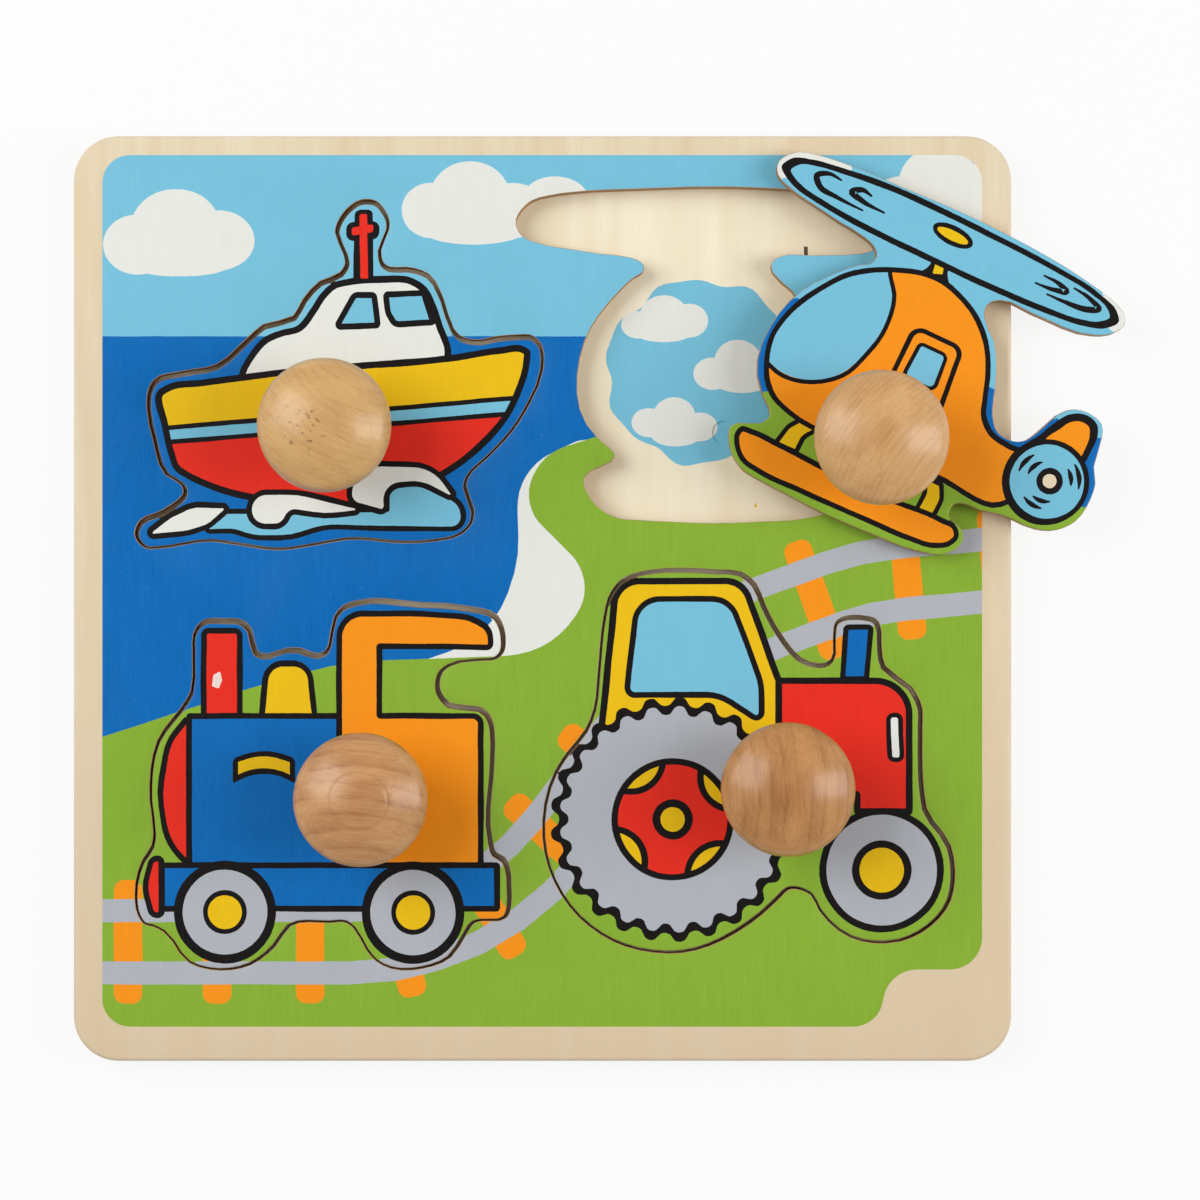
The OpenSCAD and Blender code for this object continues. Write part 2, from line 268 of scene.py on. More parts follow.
# The printed sheet, in millimetres from the board's middle
sheet = {
    "area": [
        (-103.2, -100.4, 6.5), (78.5, -100.4, 7), (81.5, -87.0, 8), (103.1, -87.0, 7.5),
        (103.1, 104.0, 6.5), (-103.2, 104.0, 6.5),
    ],
    "sky": [(-120, 40, 0), (120, 40, 0), (120, 120, 0), (-120, 120, 0)],
    "sea": [(-120, -60, 0), (120, -60, 0), (120, 61.5, 0), (-120, 61.5, 0)],
    "sand": [
        (-44, -30, 0), (30, -30, 0), (30, 40, 0), (8, 37, 8), (-6, 30, 14), (-5.5, 8, 60),
        (-12, -9, 40), (-44, -20, 30),
    ],
    "meadow": [
        (-120, -120, 0), (120, -120, 0), (120, 47, 0), (72, 44, 90), (22, 41, 40), (0, 34, 16),
        (-5, 22, 13), (13, 4, 14), (2, -13, 26), (-50, -15, 90), (-120, -38, 0),
    ],
    "clouds": [
        (-86, 84, [(-9, -1, 8, 7), (0, 3, 10.5, 9), (10, 0, 8.5, 7), (1, -4, 14, 4.5)]),
        (-17, 91, [(-9, 0, 7, 6.5), (0, 3, 9.5, 8.5), (10, 0, 8, 6.5), (1, -4, 13, 4), (20, 2, 8, 6)]),
        (92, 94, [(-8, -2, 7.5, 7), (1, 3, 9.5, 9), (10, 0, 7, 8), (2, -4, 12, 4.5)]),
    ],
    "track": [(-125, -80.5, 0), (-15, -80.5, 62), (40, -9, 50), (76, 4, 60), (130, 9, 0)],
    "wayBack": 200,             # beyond the board, where the track's line closes
    "trackStep": 1.0,
    "gauge": 14.6,
    "railWidth": 5.4,
    "tieWidth": 6.7,
    "tieLength": 29,
    "tieRound": 2.4,
    "tieGap": 21.5,
    "firstTie": 28,
}


def trackPath():
    # the rounded line through the track's corners, without the way back
    corners = sheet["track"]
    away = [(corners[end][0], sheet["wayBack"], 0) for end in (-1, 0)]
    return densified(rounded(corners + away)[:-2], sheet["trackStep"], closed=False)


def trackLayers():
    path = trackPath()
    layers = []
    travelled = 0.0
    nextTie = sheet["firstTie"]
    half, reach = sheet["tieWidth"] / 2, sheet["tieLength"] / 2
    corners = [(-half, -reach), (half, -reach), (half, reach), (-half, reach)]
    tie = rounded([(*corner, sheet["tieRound"]) for corner in corners])
    for here, ahead in zip(path, path[1:]):
        travelled += (ahead - here).length
        if travelled < nextTie:
            continue
        nextTie += sheet["tieGap"]
        along = ahead - here
        turn = Matrix.Rotation(math.atan2(along.y, along.x), 2)
        layers.append(spot("orange", [turn @ point + here for point in tie]))
    for side in (-1, 1):
        middle = side * sheet["gauge"] / 2
        half = sheet["railWidth"] / 2
        layers.append(spot("grey", ribbon(path, middle - half, middle + half)))
    return layers


def sheetLayers():
    layers = []
    for ink, name in (("sky", "sky"), ("sea", "sea"), ("white", "sand"), ("green", "meadow")):
        layers.append(spot(ink, rounded(sheet[name])))
    layers.extend(trackLayers())
    for x, y, puffs in sheet["clouds"]:
        layers.extend(cloud(x, y, puffs))
    return layers


# The four figures, in millimetres from the middle of their knob

boat = {
    "line": 1.6,
    "cabin": [
        (-21.2, 12.7), (0, 8), (27, 12), (28.6, 17.7), (26.6, 24.1), (24.8, 29.4), (22.8, 33.0),
        (19.6, 35.1), (12, 35.7), (4.9, 35.2), (0.8, 34.1), (-1.8, 31.8), (-4.5, 27.7), (-7.4, 24.1),
        (-11.5, 23.0), (-15.2, 21.4), (-18.6, 17.7),
    ],
    "windowLine": 1.4,
    "portWindow": [(0.5, 23.0, 1.3), (12.2, 23.4, 1.2), (11.1, 31.9, 1.4), (5.4, 32.0, 2.2)],
    "bowWindow": [(15.0, 23.6, 2.6), (25.3, 24.2, 1), (22.7, 32.4, 1.5), (12.5, 32.0, 1.3), (13.0, 27.0, 5)],
    "hull": [
        (-40.3, 8.6), (-39.3, 0.7), (-37.7, -6.4), (-36.3, -9.8), (-33.6, -11.7), (-27.7, -14.4),
        (-18, -17.0),
        (-6, -18.8), (8, -18.2), (20, -15.0), (27.2, -11.3), (35.4, -5.2), (41.8, 1.9), (44.8, 7.7),
        (47.1, 15.6), (47.1, 18.2), (45.4, 19.3), (40.1, 19.0), (28.4, 17.2), (6.4, 15.3), (-10.3, 13.9),
        (-30.3, 11.4), (-37.6, 10.4),
    ],
    "yellowBand": [(-50, -0.9, 0), (60, 8.5, 0), (60, 30, 0), (-50, 30, 0)],
    "blueBand": [(-50, -4.3, 0), (60, 4.8, 0), (60, 8.5, 0), (-50, -0.9, 0)],
    "bandLine": 1.15,
    "mastBack": [(5.6, 34.3, 0.2), (10.4, 34.3, 0.2), (10.2, 51.3, 1.2), (6.0, 51.2, 1.4)],
    "armsBack": [(4.0, 43.8, 1.7), (11.6, 44.3, 1.7), (11.9, 48.6, 1.7), (4.0, 48.3, 1.7)],
    "mast": [(7.3, 35.2, 0.2), (9.1, 35.2, 0.2), (8.9, 50.3, 0.6), (7.1, 50.3, 0.6)],
    "arms": [(5.3, 45.1, 0.6), (10.3, 46.0, 0.6), (10.4, 47.9, 0.6), (5.3, 47.1, 0.6)],
    "foamLine": 1.35,
    "waterLine": 1.25,
    "water": [
        (-28.6, -23.6, 0.3), (-22.5, -23.5, 8), (-17.5, -25.1, 14), (-9.0, -25.0, 16), (-0.8, -22.4, 18),
        (12.0, -22.9, 60), (30.6, -23.0, 2.2), (31.0, -18.4, 4), (22.5, -13.0, 8), (14.2, -13.6, 3),
        (14.1, -19.7, 0.6), (-24.8, -20.1, 3),
    ],
    "sternFoam": [
        (-42.0, -24.8, 0.25), (-33.0, -23.9, 14), (-28.4, -22.3, 5), (-24.4, -18.8, 0.25),
        (-31.8, -18.5, 7), (-37.4, -21.2, 8),
    ],
    "midFoam": [
        (-18.3, -22.3, 3.6), (-11.4, -22.4, 2.6), (-9.4, -18.7, 2.6), (-1.0, -20.0, 20),
        (7.0, -19.1, 0.2), (-7.5, -15.6, 18), (-17.9, -15.7, 3.8),
    ],
    "bowFoam": [
        (5.2, -17.0, 2.2), (12.7, -19.1, 0.6), (12.6, -13.0, 4.2), (21.5, -12.2, 9), (28.9, -15.9, 0.2),
        (24.0, -9.3, 9), (10.0, -8.9, 5), (5.6, -13.3, 3),
    ],
}


def boatLayers():
    line = boat["line"]
    hullInside = inkEdge(inset(curved(boat["hull"]), line))
    layers = penned("white", boat["cabin"], line)
    windows = [("sky", boat["portWindow"]), ("sky", boat["bowWindow"])]
    layers += drawn(windows, boat["windowLine"], beyond=0.0)
    for ink, names in (("black", ("mastBack", "armsBack")), ("red", ("mast", "arms"))):
        layers += [spot(ink, rounded(boat[name])) for name in names]
    layers += penned("red", boat["hull"], line)
    bands = [("sky", boat["blueBand"]), ("yellow", boat["yellowBand"])]
    layers += drawn(bands, boat["bandLine"], hullInside)
    layers += drawn([("sky", boat["water"])], boat["waterLine"], beyond=1.0)
    foams = [("white", boat[name]) for name in ("sternFoam", "midFoam", "bowFoam")]
    layers += drawn(foams, boat["foamLine"], beyond=1.0)
    return layers


train = {
    "line": 1.4,
    # ink, shape, and the share of its line outside its corners
    "order": [
        ("yellow", "dome", 0), ("red", "chimney", 0.5), ("red", "front", 0.5), ("sea", "boiler", 0.5),
        ("yellow", "plate", 0), ("orange", "cab", 0.5), ("sea", "chassis", 0.5), ("red", "buffer", 0.5),
    ],
    "front": [
        (-41.2, 18.8, 0.5), (-46.2, 12.6, 12), (-48.2, 0.8, 20), (-46.5, -10.8, 14), (-41.2, -16.2, 0.5),
    ],
    "boiler": [(-41.2, -16.2, 0.3), (-6.0, -16.2, 0.3), (-6.0, 18.8, 0.3), (-41.2, 18.8, 0.3)],
    "chimney": [(-37.8, 18.8, 0.3), (-29.3, 18.8, 0.3), (-29.3, 38.8, 1.2), (-37.8, 38.8, 1.2)],
    "chip": [
        (-35.8, 25.8, 0.3), (-34.2, 25.3, 0.3), (-33.4, 27.2, 0.3), (-33.9, 29.3, 0.3), (-35.5, 28.4, 0.3),
    ],
    "dome": [(-25.0, 17.8, 0.3), (-10.9, 17.8, 0.3), (-12.4, 31.8, 5), (-23.6, 31.8, 5)],
    "plate": [
        (-31.0, 2.9, 0.4), (-23.7, 6.8, 12), (-16.3, 2.9, 0.4), (-16.3, 8.9, 1.6), (-23.7, 11.4, 14),
        (-31.0, 8.9, 1.6),
    ],
    "plateLine": 1.3,
    "cab": [
        (-6.0, -16.2, 0.3), (27.2, -16.2, 0.3), (27.2, 18.8, 2), (3.4, 18.8, 0.3), (3.4, 35.2, 0.3),
        (29.6, 34.9, 1), (29.4, 39.3, 4), (24.4, 42.0, 9), (12.0, 42.8, 40), (-6.0, 42.8, 5.6),
    ],
    "chassis": [(-47.6, -26.4, 0.3), (31.0, -26.4, 0.3), (31.0, -16.2, 0.3), (-47.6, -16.2, 0.3)],
    "buffer": [
        (-47.7, -14.6, 1), (-50.0, -14.6, 1.8), (-51.7, -21.2, 9), (-50.0, -27.9, 1.8), (-47.7, -27.9, 1),
    ],
    "wheels": [(-32.8, -27.2), (11.3, -27.3)],
    "wheelRadius": 11.0,
    "wheelLine": 2.05,
    "hubRadius": 4.6,
    "hubLine": 1.2,
}


def trainLayers():
    layers = inOrder(train)
    for x, y in train["wheels"]:
        layers += disc("grey", x, y, train["wheelRadius"], train["wheelLine"])
        layers += disc("yellow", x, y, train["hubRadius"], train["hubLine"])
    layers.append(spot("chip", rounded(train["chip"])))
    return layers


tractor = {
    "line": 1.6,
    "order": [
        ("yellow", "cab", 0.5), ("sky", "window", 0.5), ("red", "bonnet", 0.5), ("sea", "exhaust", 0),
        ("white", "lamp", 0),
    ],
    "cab": [
        (-43.5, 8.1, 0.3), (-1.4, 8.1, 0.3), (-1.4, 24.7, 1.5), (-9.8, 48.1, 6), (-39.4, 48.1, 6),
    ],
    "window": [
        (-37.1, 21.4, 1.8), (-15.2, 21.4, 10), (-5.4, 14.9, 1.3), (-5.4, 24.1, 12), (-12.8, 43.9, 6),
        (-34.6, 43.9, 6),
    ],
    "windowLine": 1.4,
    "bonnet": [
        (-1.4, -1.9, 0.3), (17.0, -1.9, 0.3), (17.0, -6.0, 0.3), (29.2, -6.0, 0.3), (29.2, 24.7, 8),
        (-1.4, 24.7, 0.3),
    ],
    "lamp": [(24.1, 5.6, 1.7), (28.1, 5.6, 1.7), (27.7, 17.2, 1.7), (23.7, 17.2, 1.7)],
    "lampLine": 1.15,
    "exhaust": [(12.9, 24.5, 0.3), (19.8, 24.5, 0.3), (20.9, 37.9, 1.3), (13.8, 37.9, 1.3)],
    "exhaustLine": 1.25,
    "frontWheel": (22.75, -19.7),
    "frontRadius": 13.8,
    "frontLine": 1.65,
    "frontHub": (6.1, 1.7),         # radius and line
    "rearWheel": (-26.25, -7.8),
    "tyreRadius": 26.6,
    "tyreLine": 2.2,
    "lugs": 25,
    "lugDepth": 1.05,
    "lugRoundness": 0.45,
    "rimRadius": 13.6,
    "rimLine": 1.55,
    "rimOpenings": [125, 35, 215, 310],
    "openingRadius": 7.6,
    "openingOut": 3.6,              # how far past the rim their middles are
    "rearHub": (3.8, 1.85),
}


def tractorLayers():
    layers = inOrder(tractor)
    x, y = tractor["frontWheel"]
    layers += disc("grey", x, y, tractor["frontRadius"], tractor["frontLine"])
    layers += disc("yellow", x, y, *tractor["frontHub"])
    x, y = tractor["rearWheel"]
    for ink, grow in (("black", tractor["tyreLine"] / 2), ("grey", -tractor["tyreLine"] / 2)):
        radius = tractor["tyreRadius"] + grow
        tread = toothed(x, y, radius, tractor["lugs"], tractor["lugDepth"], tractor["lugRoundness"])
        layers.append(spot(ink, tread))
    rim = tractor["rimRadius"]
    rimLine = tractor["rimLine"]
    layers += disc("red", x, y, rim, rimLine)
    rimInside = inkEdge(oval(x, y, rim, grow=-rimLine / 2))
    for angle in tractor["rimOpenings"]:
        way = math.radians(angle)
        away = rim + tractor["openingOut"]
        middle = (x + away * math.cos(way), y + away * math.sin(way))
        layers += disc("yellow", *middle, tractor["openingRadius"], rimLine, rimInside)
    layers += disc("yellow", x, y, *tractor["rearHub"])
    return layers


helicopter = {
    "line": 1.25,
    "order": [("orange", "door", 0), ("sky", "doorWindow", 0)],
    "seatedAt": (42.72, 39.13),     # where its knob is in the board's frame when it is in its recess
    "turn": -24.9,
    "body": [
        (-30.0, 22.5), (-32.0, 17.5), (-32.9, 12.0), (-31.8, 6.3), (-29.6, 1.8), (-26.2, -1.4),
        (-21.4, -3.2), (0, -3.3), (16.1, -2.4), (33.0, -1.8), (37, 5), (33.5, 12.4), (28.5, 12.4),
        (23.6, 13.4), (20.9, 15.9), (19.3, 20.0), (17.6, 25.3), (14.2, 31.5), (9.4, 36.3), (3.5, 39.4),
        (-1.8, 40.7), (-7.0, 40.4), (-12.0, 38.9), (-17.6, 36.3), (-23.1, 32.3), (-27.0, 27.4),
    ],
    "screen": [
        (-34, 6.6), (-30.6, 6.1), (-27.5, 5.2), (-23.8, 5.2), (-17.8, 7.4), (-13.8, 11.0), (-11.0, 17.4),
        (-9.6, 24.7), (-10.9, 32.1), (-14.0, 36.5), (-15.4, 40),
    ],
    "screenFar": [(-30, 44), (-44, 30), (-44, 8)],
    "screenLine": 1.05,
    "doorLine": 1.2,
    "door": [(-3.9, 8.0, 2), (11.4, 8.0, 2), (9.6, 28.3, 3.2), (-3.5, 28.4, 3.2)],
    "doorWindowLine": 0.95,
    "doorWindow": [(-1.3, 15.6, 2), (7.8, 15.6, 2), (7.0, 25.3, 1.8), (-0.7, 25.3, 1.5)],
    "mastBack": [(-6.1, 44.6, 0.4), (-5.8, 42.0, 3), (-7.9, 39.2, 0.3), (0.8, 39.2, 0.3), (-1.4, 42.0, 3),
                 (-1.6, 44.6, 0.4)],
    "mast": [(-4.9, 43.4, 0.2), (-4.5, 40.8, 0.2), (-2.3, 41.6, 0.2), (-2.9, 43.9, 0.2)],
    "rotor": [
        (-47.0, 48.6), (-45.4, 47.1), (-42.6, 45.7), (-36.5, 44.5), (-28.3, 43.6), (-7, 43.0), (14, 43.0),
        (25, 43.6), (33, 44.6), (37.7, 46.4), (39.6, 48.8), (38.2, 50.8), (33.0, 52.9), (23.5, 54.3),
        (10.4, 55.1), (-10, 55.7), (-24, 55.4), (-34, 54.3), (-41.3, 53.1), (-45.6, 51.3),
    ],
    "rotorMiddle": (-3.4, 49.3),
    "bladeShare": (0.945, 0.775),   # the blue disc's width and height, as shares of the black one's
    "swirls": [
        # width and way of each stroke
        (1.5, [(-32.8, 51.6), (-36.2, 51.8), (-38.6, 50.2), (-37.2, 48.4), (-32.0, 47.6), (-25.4, 47.3)]),
        (1.6, [(-24.9, 51.2), (-27.7, 51.6), (-29.6, 50.3), (-26.6, 49.3), (-20.5, 48.9)]),
        (1.5, [(26.7, 51.6), (31.0, 51.0), (34.1, 49.6), (31.4, 48.3), (26.6, 47.8), (21.5, 47.7)]),
        (1.4, [(19.1, 51.4), (23.2, 51.1), (25.6, 50.1), (22.6, 49.3), (18.0, 49.0)]),
    ],
    "hub": (-4.0, 50.8, 5.1, 2.3),
    "hubLine": 1.15,
    "hubTilt": -2.0,
    "fin": [
        (40, 8), (46.0, 14.0), (46.5, 19.0), (46.4, 22.4), (45.2, 24.9), (43.0, 25.9), (40.8, 25.8),
        (38.2, 24.4), (35.7, 20.8), (34.0, 17.2), (31.5, 13.0),
    ],
    "finInside": [
        (40, 10), (44.2, 14.0), (45.0, 18.6), (44.7, 21.8), (43.7, 23.6), (41.5, 24.0), (39.3, 22.9),
        (37.7, 20.4), (35.6, 16.6),
    ],
    "tailRotor": (40.1, 8.0),
    "tailRadius": 9.3,
    "tailLine": 1.25,
    "tailBack": (39.7, 7.7, 10.05),
    "tailSwirls": [
        # radius and the angles where each stroke starts and ends
        (7.0, 140, 184), (4.8, 128, 182), (7.6, 57, 11), (5.7, 56, 15), (6.4, 238, 284), (4.7, 250, 304),
    ],
    "tailSwirlWidth": 1.15,
    "tailHub": (40.6, 8.4, 2.4),
    "tailHubLine": 1.5,
    "strutLine": 1.15,
    "frontStrut": [
        (-21.8, -11.0, 0.3), (-15.3, -11.0, 0.3), (-15.2, -6.6, 3), (-12.0, -2.6, 0.3), (-18.4, -2.4, 2),
        (-20.6, -5.6, 4),
    ],
    "rearStrut": [
        (14.6, -11.4, 0.3), (20.0, -11.4, 0.3), (20.2, -6.0, 4), (18.4, -2.4, 1), (13.2, -2.4, 0.3),
        (14.8, -6.4, 4),
    ],
    "skid": [
        (-30.7, -12.0), (-29.2, -15.5), (-26.4, -17.8), (-22.0, -18.6), (-10, -18.7), (5, -18.4),
        (16.4, -18.1), (22.6, -17.2), (26.0, -15.0), (26.9, -12.4), (25.4, -10.3), (21.5, -9.9), (8, -10.6),
        (-6, -10.5), (-20, -9.9), (-27.4, -9.8), (-30.0, -10.3),
    ],
}


def helicopterLayers():
    line = helicopter["line"]
    struts = [("yellow", helicopter["frontStrut"]), ("yellow", helicopter["rearStrut"])]
    layers = drawn(struts, helicopter["strutLine"], beyond=0.0)
    layers.append(spot("black", curved(helicopter["fin"])))
    layers.append(spot("orange", curved(helicopter["finInside"])))
    layers.append(spot("black", rounded(helicopter["mastBack"])))
    layers += penned("orange", helicopter["body"], line)
    layers.append(spot("yellow", rounded(helicopter["mast"])))
    inside = inkEdge(inset(curved(helicopter["body"]), line))
    screenEdge = curved(helicopter["screen"], closed=False)
    screenLine = ribbon(screenEdge, -helicopter["screenLine"], 0)
    far = [Vector(corner) for corner in helicopter["screenFar"]]
    layers.append(spot("sky", screenEdge + far, inside))
    layers.append(spot("black", screenLine, inside))
    layers += inOrder(helicopter)
    outer = curved(helicopter["rotor"])
    middle = Vector(helicopter["rotorMiddle"])
    share = Vector(helicopter["bladeShare"])
    layers.append(spot("black", outer))
    layers.append(spot("sky", [middle + (point - middle) * share for point in outer]))
    for width, way in helicopter["swirls"]:
        layers.append(spot("black", swelling(curved(way, closed=False), width)))
    x, y, across, high = helicopter["hub"]
    tilt = helicopter["hubTilt"]
    layers.append(spot("black", oval(x, y, across, high, tilt=tilt)))
    layers.append(spot("yellow", oval(x, y, across, high, -helicopter["hubLine"], tilt)))
    layers.append(spot("black", oval(*helicopter["tailBack"])))
    x, y = helicopter["tailRotor"]
    layers += disc("sky", x, y, helicopter["tailRadius"], helicopter["tailLine"])
    for radius, start, end in helicopter["tailSwirls"]:
        arc = arcPath(x, y, radius, radius, start, end)
        layers.append(spot("black", swelling(arc, helicopter["tailSwirlWidth"])))
    layers += disc("cream", *helicopter["tailHub"], helicopter["tailHubLine"])
    layers += penned("orange", helicopter["skid"], line)
    return layers


# The recess floors. Only the helicopter's shows in the photograph.
floors = {
    "helicopter": {"at": (37.5, 53.5), "size": (22.5, 21.5), "ink": "sky"},
    "boat": {"at": (-48.0, 47.0), "size": (27, 15), "ink": "sea"},
    "train": {"at": (-48.0, -48.0), "size": (24, 17), "ink": "sky"},
    "tractor": {"at": (44.0, -42.0), "size": (26, 18), "ink": "green"},
    "clouds": [
        (28.5, 65.5, [(-6, -1, 4, 3.2), (0, 1.5, 5.5, 4.5), (6, 0, 4.5, 4), (0, -2.5, 7, 2.6)]),
        (46.0, 54.5, [(-6, -1.5, 4.5, 3.8), (0, 1.5, 5.5, 5), (7, 0.5, 4.5, 4), (1, -3, 7, 3)]),
        (30.5, 41.5, [(-5.5, 0, 4, 3.4), (0.5, 1.5, 5, 4.5), (6.5, -1, 4.2, 3.4), (1, -2.8, 6, 2.8)]),
    ],
    "smoke": [
        (-58.0, -46.0, [(0, 0, 5, 4.2), (5, 2, 4.5, 4)]),
        (-43.0, -41.0, [(0, 0, 6, 5), (6, 2, 5, 4.4), (-5, -1, 4, 3.4)]),
        (-38.0, -54.0, [(0, 0, 4.4, 3.6), (5, 1, 3.8, 3.2)]),
    ],
    # how many ripples go round a patch's edge, their height as a share, and their shift in radians
    "ripples": [(7, 0.035, 1), (13, 0.02, 0)],
    "waves": [(-62, 47), (-46, 51), (-50, 40), (-33, 45)],
    "waveArc": (5, 3, 20, 160),     # radii, and the angles of both ends
    "waveWidth": 1.6,
    "field": (44, -42),             # middle of the ploughed rows
    "rowReach": 2,                  # rows above and below the middle one
    "rowGap": 6.5,
    "rowRadii": (22, 20),
    "rowTaper": 2.6,
    "rowArc": (60, 120),
    "rowWidth": 1.8,
    "tick": [(61.7, 80.6, 0), (62.6, 80.6, 0), (62.5, 83.0, 0), (61.6, 83.0, 0)],
    "fleck": [(49.9, 21.4, 0.2), (50.5, 21.6, 0.2), (50.4, 22.6, 0.2), (50.0, 22.4, 0.2)],
}


def rippledPatch(at, size, steps=96):
    blob = []
    for k in range(steps):
        angle = math.tau * k / steps
        swell = 1 + sum(high * math.sin(count * angle + shift) for count, high, shift in floors["ripples"])
        x = at[0] + size[0] * swell * math.cos(angle)
        y = at[1] + size[1] * swell * math.sin(angle)
        blob.append(Vector((x, y)))
    return blob


def floorLayers():
    layers = []
    for name in ("helicopter", "boat", "train", "tractor"):
        patch = floors[name]
        layers.append(spot(patch["ink"], rippledPatch(patch["at"], patch["size"])))
    for x, y, puffs in floors["clouds"] + floors["smoke"]:
        layers.extend(cloud(x, y, puffs))
    for x, y in floors["waves"]:
        layers.append(spot("white", swelling(arcPath(x, y, *floors["waveArc"]), floors["waveWidth"])))
    x, y = floors["field"]
    across, high = floors["rowRadii"]
    for row in range(-floors["rowReach"], floors["rowReach"] + 1):
        middle = y + row * floors["rowGap"] - high
        arc = arcPath(x, middle, across - floors["rowTaper"] * row * row, high, *floors["rowArc"])
        layers.append(spot("yellow", swelling(arc, floors["rowWidth"])))
    layers.append(spot("tick", rounded(floors["tick"])))
    layers.append(spot("yellow", rounded(floors["fleck"])))
    return layers


# Shaders. A noise is (size across in mm, how many times as long, detail, place in mm), and a range is
# (the noise's low and high, what they become).

def srgb(red, green, blue):
    made = []
    for part in (red, green, blue):
        share = part / 255
        made.append(share / 12.92 if share <= 0.04045 else ((share + 0.055) / 1.055) ** 2.4)
    return (*made, 1.0)


def addNode(tree, kind, inputs=None, **settings):
    made = tree.nodes.new(kind)
    for name, value in settings.items():
        setattr(made, name, value)
    for socket, value in (inputs or {}).items():
        if isinstance(value, bpy.types.NodeSocket):
            tree.links.new(value, made.inputs[socket])
        else:
            made.inputs[socket].default_value = value
    return made


def emptyTree(owner):
    owner.use_nodes = True
    owner.node_tree.nodes.clear()
    return owner.node_tree


def newMaterial(name, roughness, specular=0.5, coat=0.0, coatRoughness=0.2):
    material = bpy.data.materials.new(name)
    tree = emptyTree(material)
    shader = addNode(tree, "ShaderNodeBsdfPrincipled", {
        "Roughness": roughness, "Specular IOR Level": specular,
        "Coat Weight": coat, "Coat Roughness": coatRoughness,
    })
    addNode(tree, "ShaderNodeOutputMaterial", {"Surface": shader.outputs[0]})
    return material, tree, shader


def ownCoords(tree):
    return addNode(tree, "ShaderNodeTexCoord").outputs["Object"]


def grain(tree, look, turn=0.0, seed=0.0):
    # noise with long spots along Y turned by turn
    size, stretch, detail, place = look
    inputs = {
        "Vector": ownCoords(tree),
        "Location": ((place + seed) * mm,) * 3,
        "Rotation": (0, 0, turn),
        "Scale": (size * mm, size * stretch * mm, size * mm),
    }
    laid = addNode(tree, "ShaderNodeMapping", inputs, vector_type="TEXTURE").outputs[0]
    inputs = {"Vector": laid, "Scale": 1.0, "Detail": detail}
    return addNode(tree, "ShaderNodeTexNoise", inputs).outputs["Fac"]


def ranged(tree, value, low, high, toLow=0.0, toHigh=1.0):
    inputs = {"Value": value, "From Min": low, "From Max": high, "To Min": toLow, "To Max": toHigh}
    return addNode(tree, "ShaderNodeMapRange", inputs).outputs[0]


def maths(tree, operation, first, second=0.0):
    return addNode(tree, "ShaderNodeMath", {0: first, 1: second}, operation=operation).outputs[0]


def mixed(tree, factor, first, second):
    return addNode(tree, "ShaderNodeMix", {0: factor, 6: first, 7: second}, data_type="RGBA").outputs[2]


def finished(tree, shader, shade, height, strength, distance):
    # gives the surface its colour and its relief
    tree.links.new(shade, shader.inputs["Base Color"])
    inputs = {"Height": height, "Strength": strength, "Distance": distance * mm}
    tree.links.new(addNode(tree, "ShaderNodeBump", inputs).outputs[0], shader.inputs["Normal"])


def scaledColour(colour, by):
    return (*[min(1.0, part * by) for part in colour[:3]], 1.0)


inks = {
    # colour, how far the grain and the blotches change it, how much bare wood shows as specks
    "sky": ((122, 197, 224), 0.022, 0.02, 0.03),
    "white": ((234, 236, 229), 0.015, 0.015, 0.0),
    "sea": ((0, 109, 188), 0.07, 0.07, 0.04),
    "green": ((140, 180, 54), 0.045, 0.04, 0.05),
    "grey": ((181, 185, 192), 0.022, 0.02, 0.0),
    "orange": ((255, 152, 22), 0.03, 0.03, 0.02),
    "yellow": ((242, 196, 16), 0.03, 0.03, 0.0),
    "red": ((238, 46, 30), 0.035, 0.03, 0.03),
    "black": ((18, 12, 13), 0.12, 0.06, 0.02),
    "cream": ((238, 222, 190), 0.03, 0.03, 0.0),
    "chip": ((246, 230, 220), 0.10, 0.10, 0.0),
    "tick": ((96, 78, 66), 0.10, 0.10, 0.0),
}

printing = {
    "surface": (0.42, 0.18),            # roughness and specular level
    "streaks": (0.28, 26, 4.0, 0.0),
    "streakRange": (0.32, 0.68),
    "glossRange": (0.3, 0.7, 0.36, 0.50),
    "blotches": (3.5, 2.5, 3.0, 7.0),
    "blotchRange": (0.35, 0.75, 0.0, 0.5),
    "flecks": (0.30, 3.0, 2.0, 21.0),
    "fleckRange": (0.74, 0.80, 0.0),
    "fleckGain": 6,
    "bare": (232, 222, 190),
    "relief": (0.25, 0.03),             # strength, and depth in mm
}


def inkMaterial(name, look, turn=0.0):
    material, tree, shader = newMaterial(name, *printing["surface"])
    tint, grained, blotched, specks = look
    colour = srgb(*tint)
    streaks = grain(tree, printing["streaks"], turn)
    streaked = ranged(tree, streaks, *printing["streakRange"])
    shade = mixed(tree, streaked, scaledColour(colour, 1 - grained), scaledColour(colour, 1 + grained))
    blotches = ranged(tree, grain(tree, printing["blotches"], turn), *printing["blotchRange"])
    shade = mixed(tree, blotches, shade, scaledColour(colour, 1 - 2 * blotched))
    if specks > 0:
        most = min(1.0, printing["fleckGain"] * specks)
        bare = ranged(tree, grain(tree, printing["flecks"], turn), *printing["fleckRange"], most)
        shade = mixed(tree, bare, shade, srgb(*printing["bare"]))
    tree.links.new(ranged(tree, streaks, *printing["glossRange"]), shader.inputs["Roughness"])
    finished(tree, shader, shade, streaks, *printing["relief"])
    return material


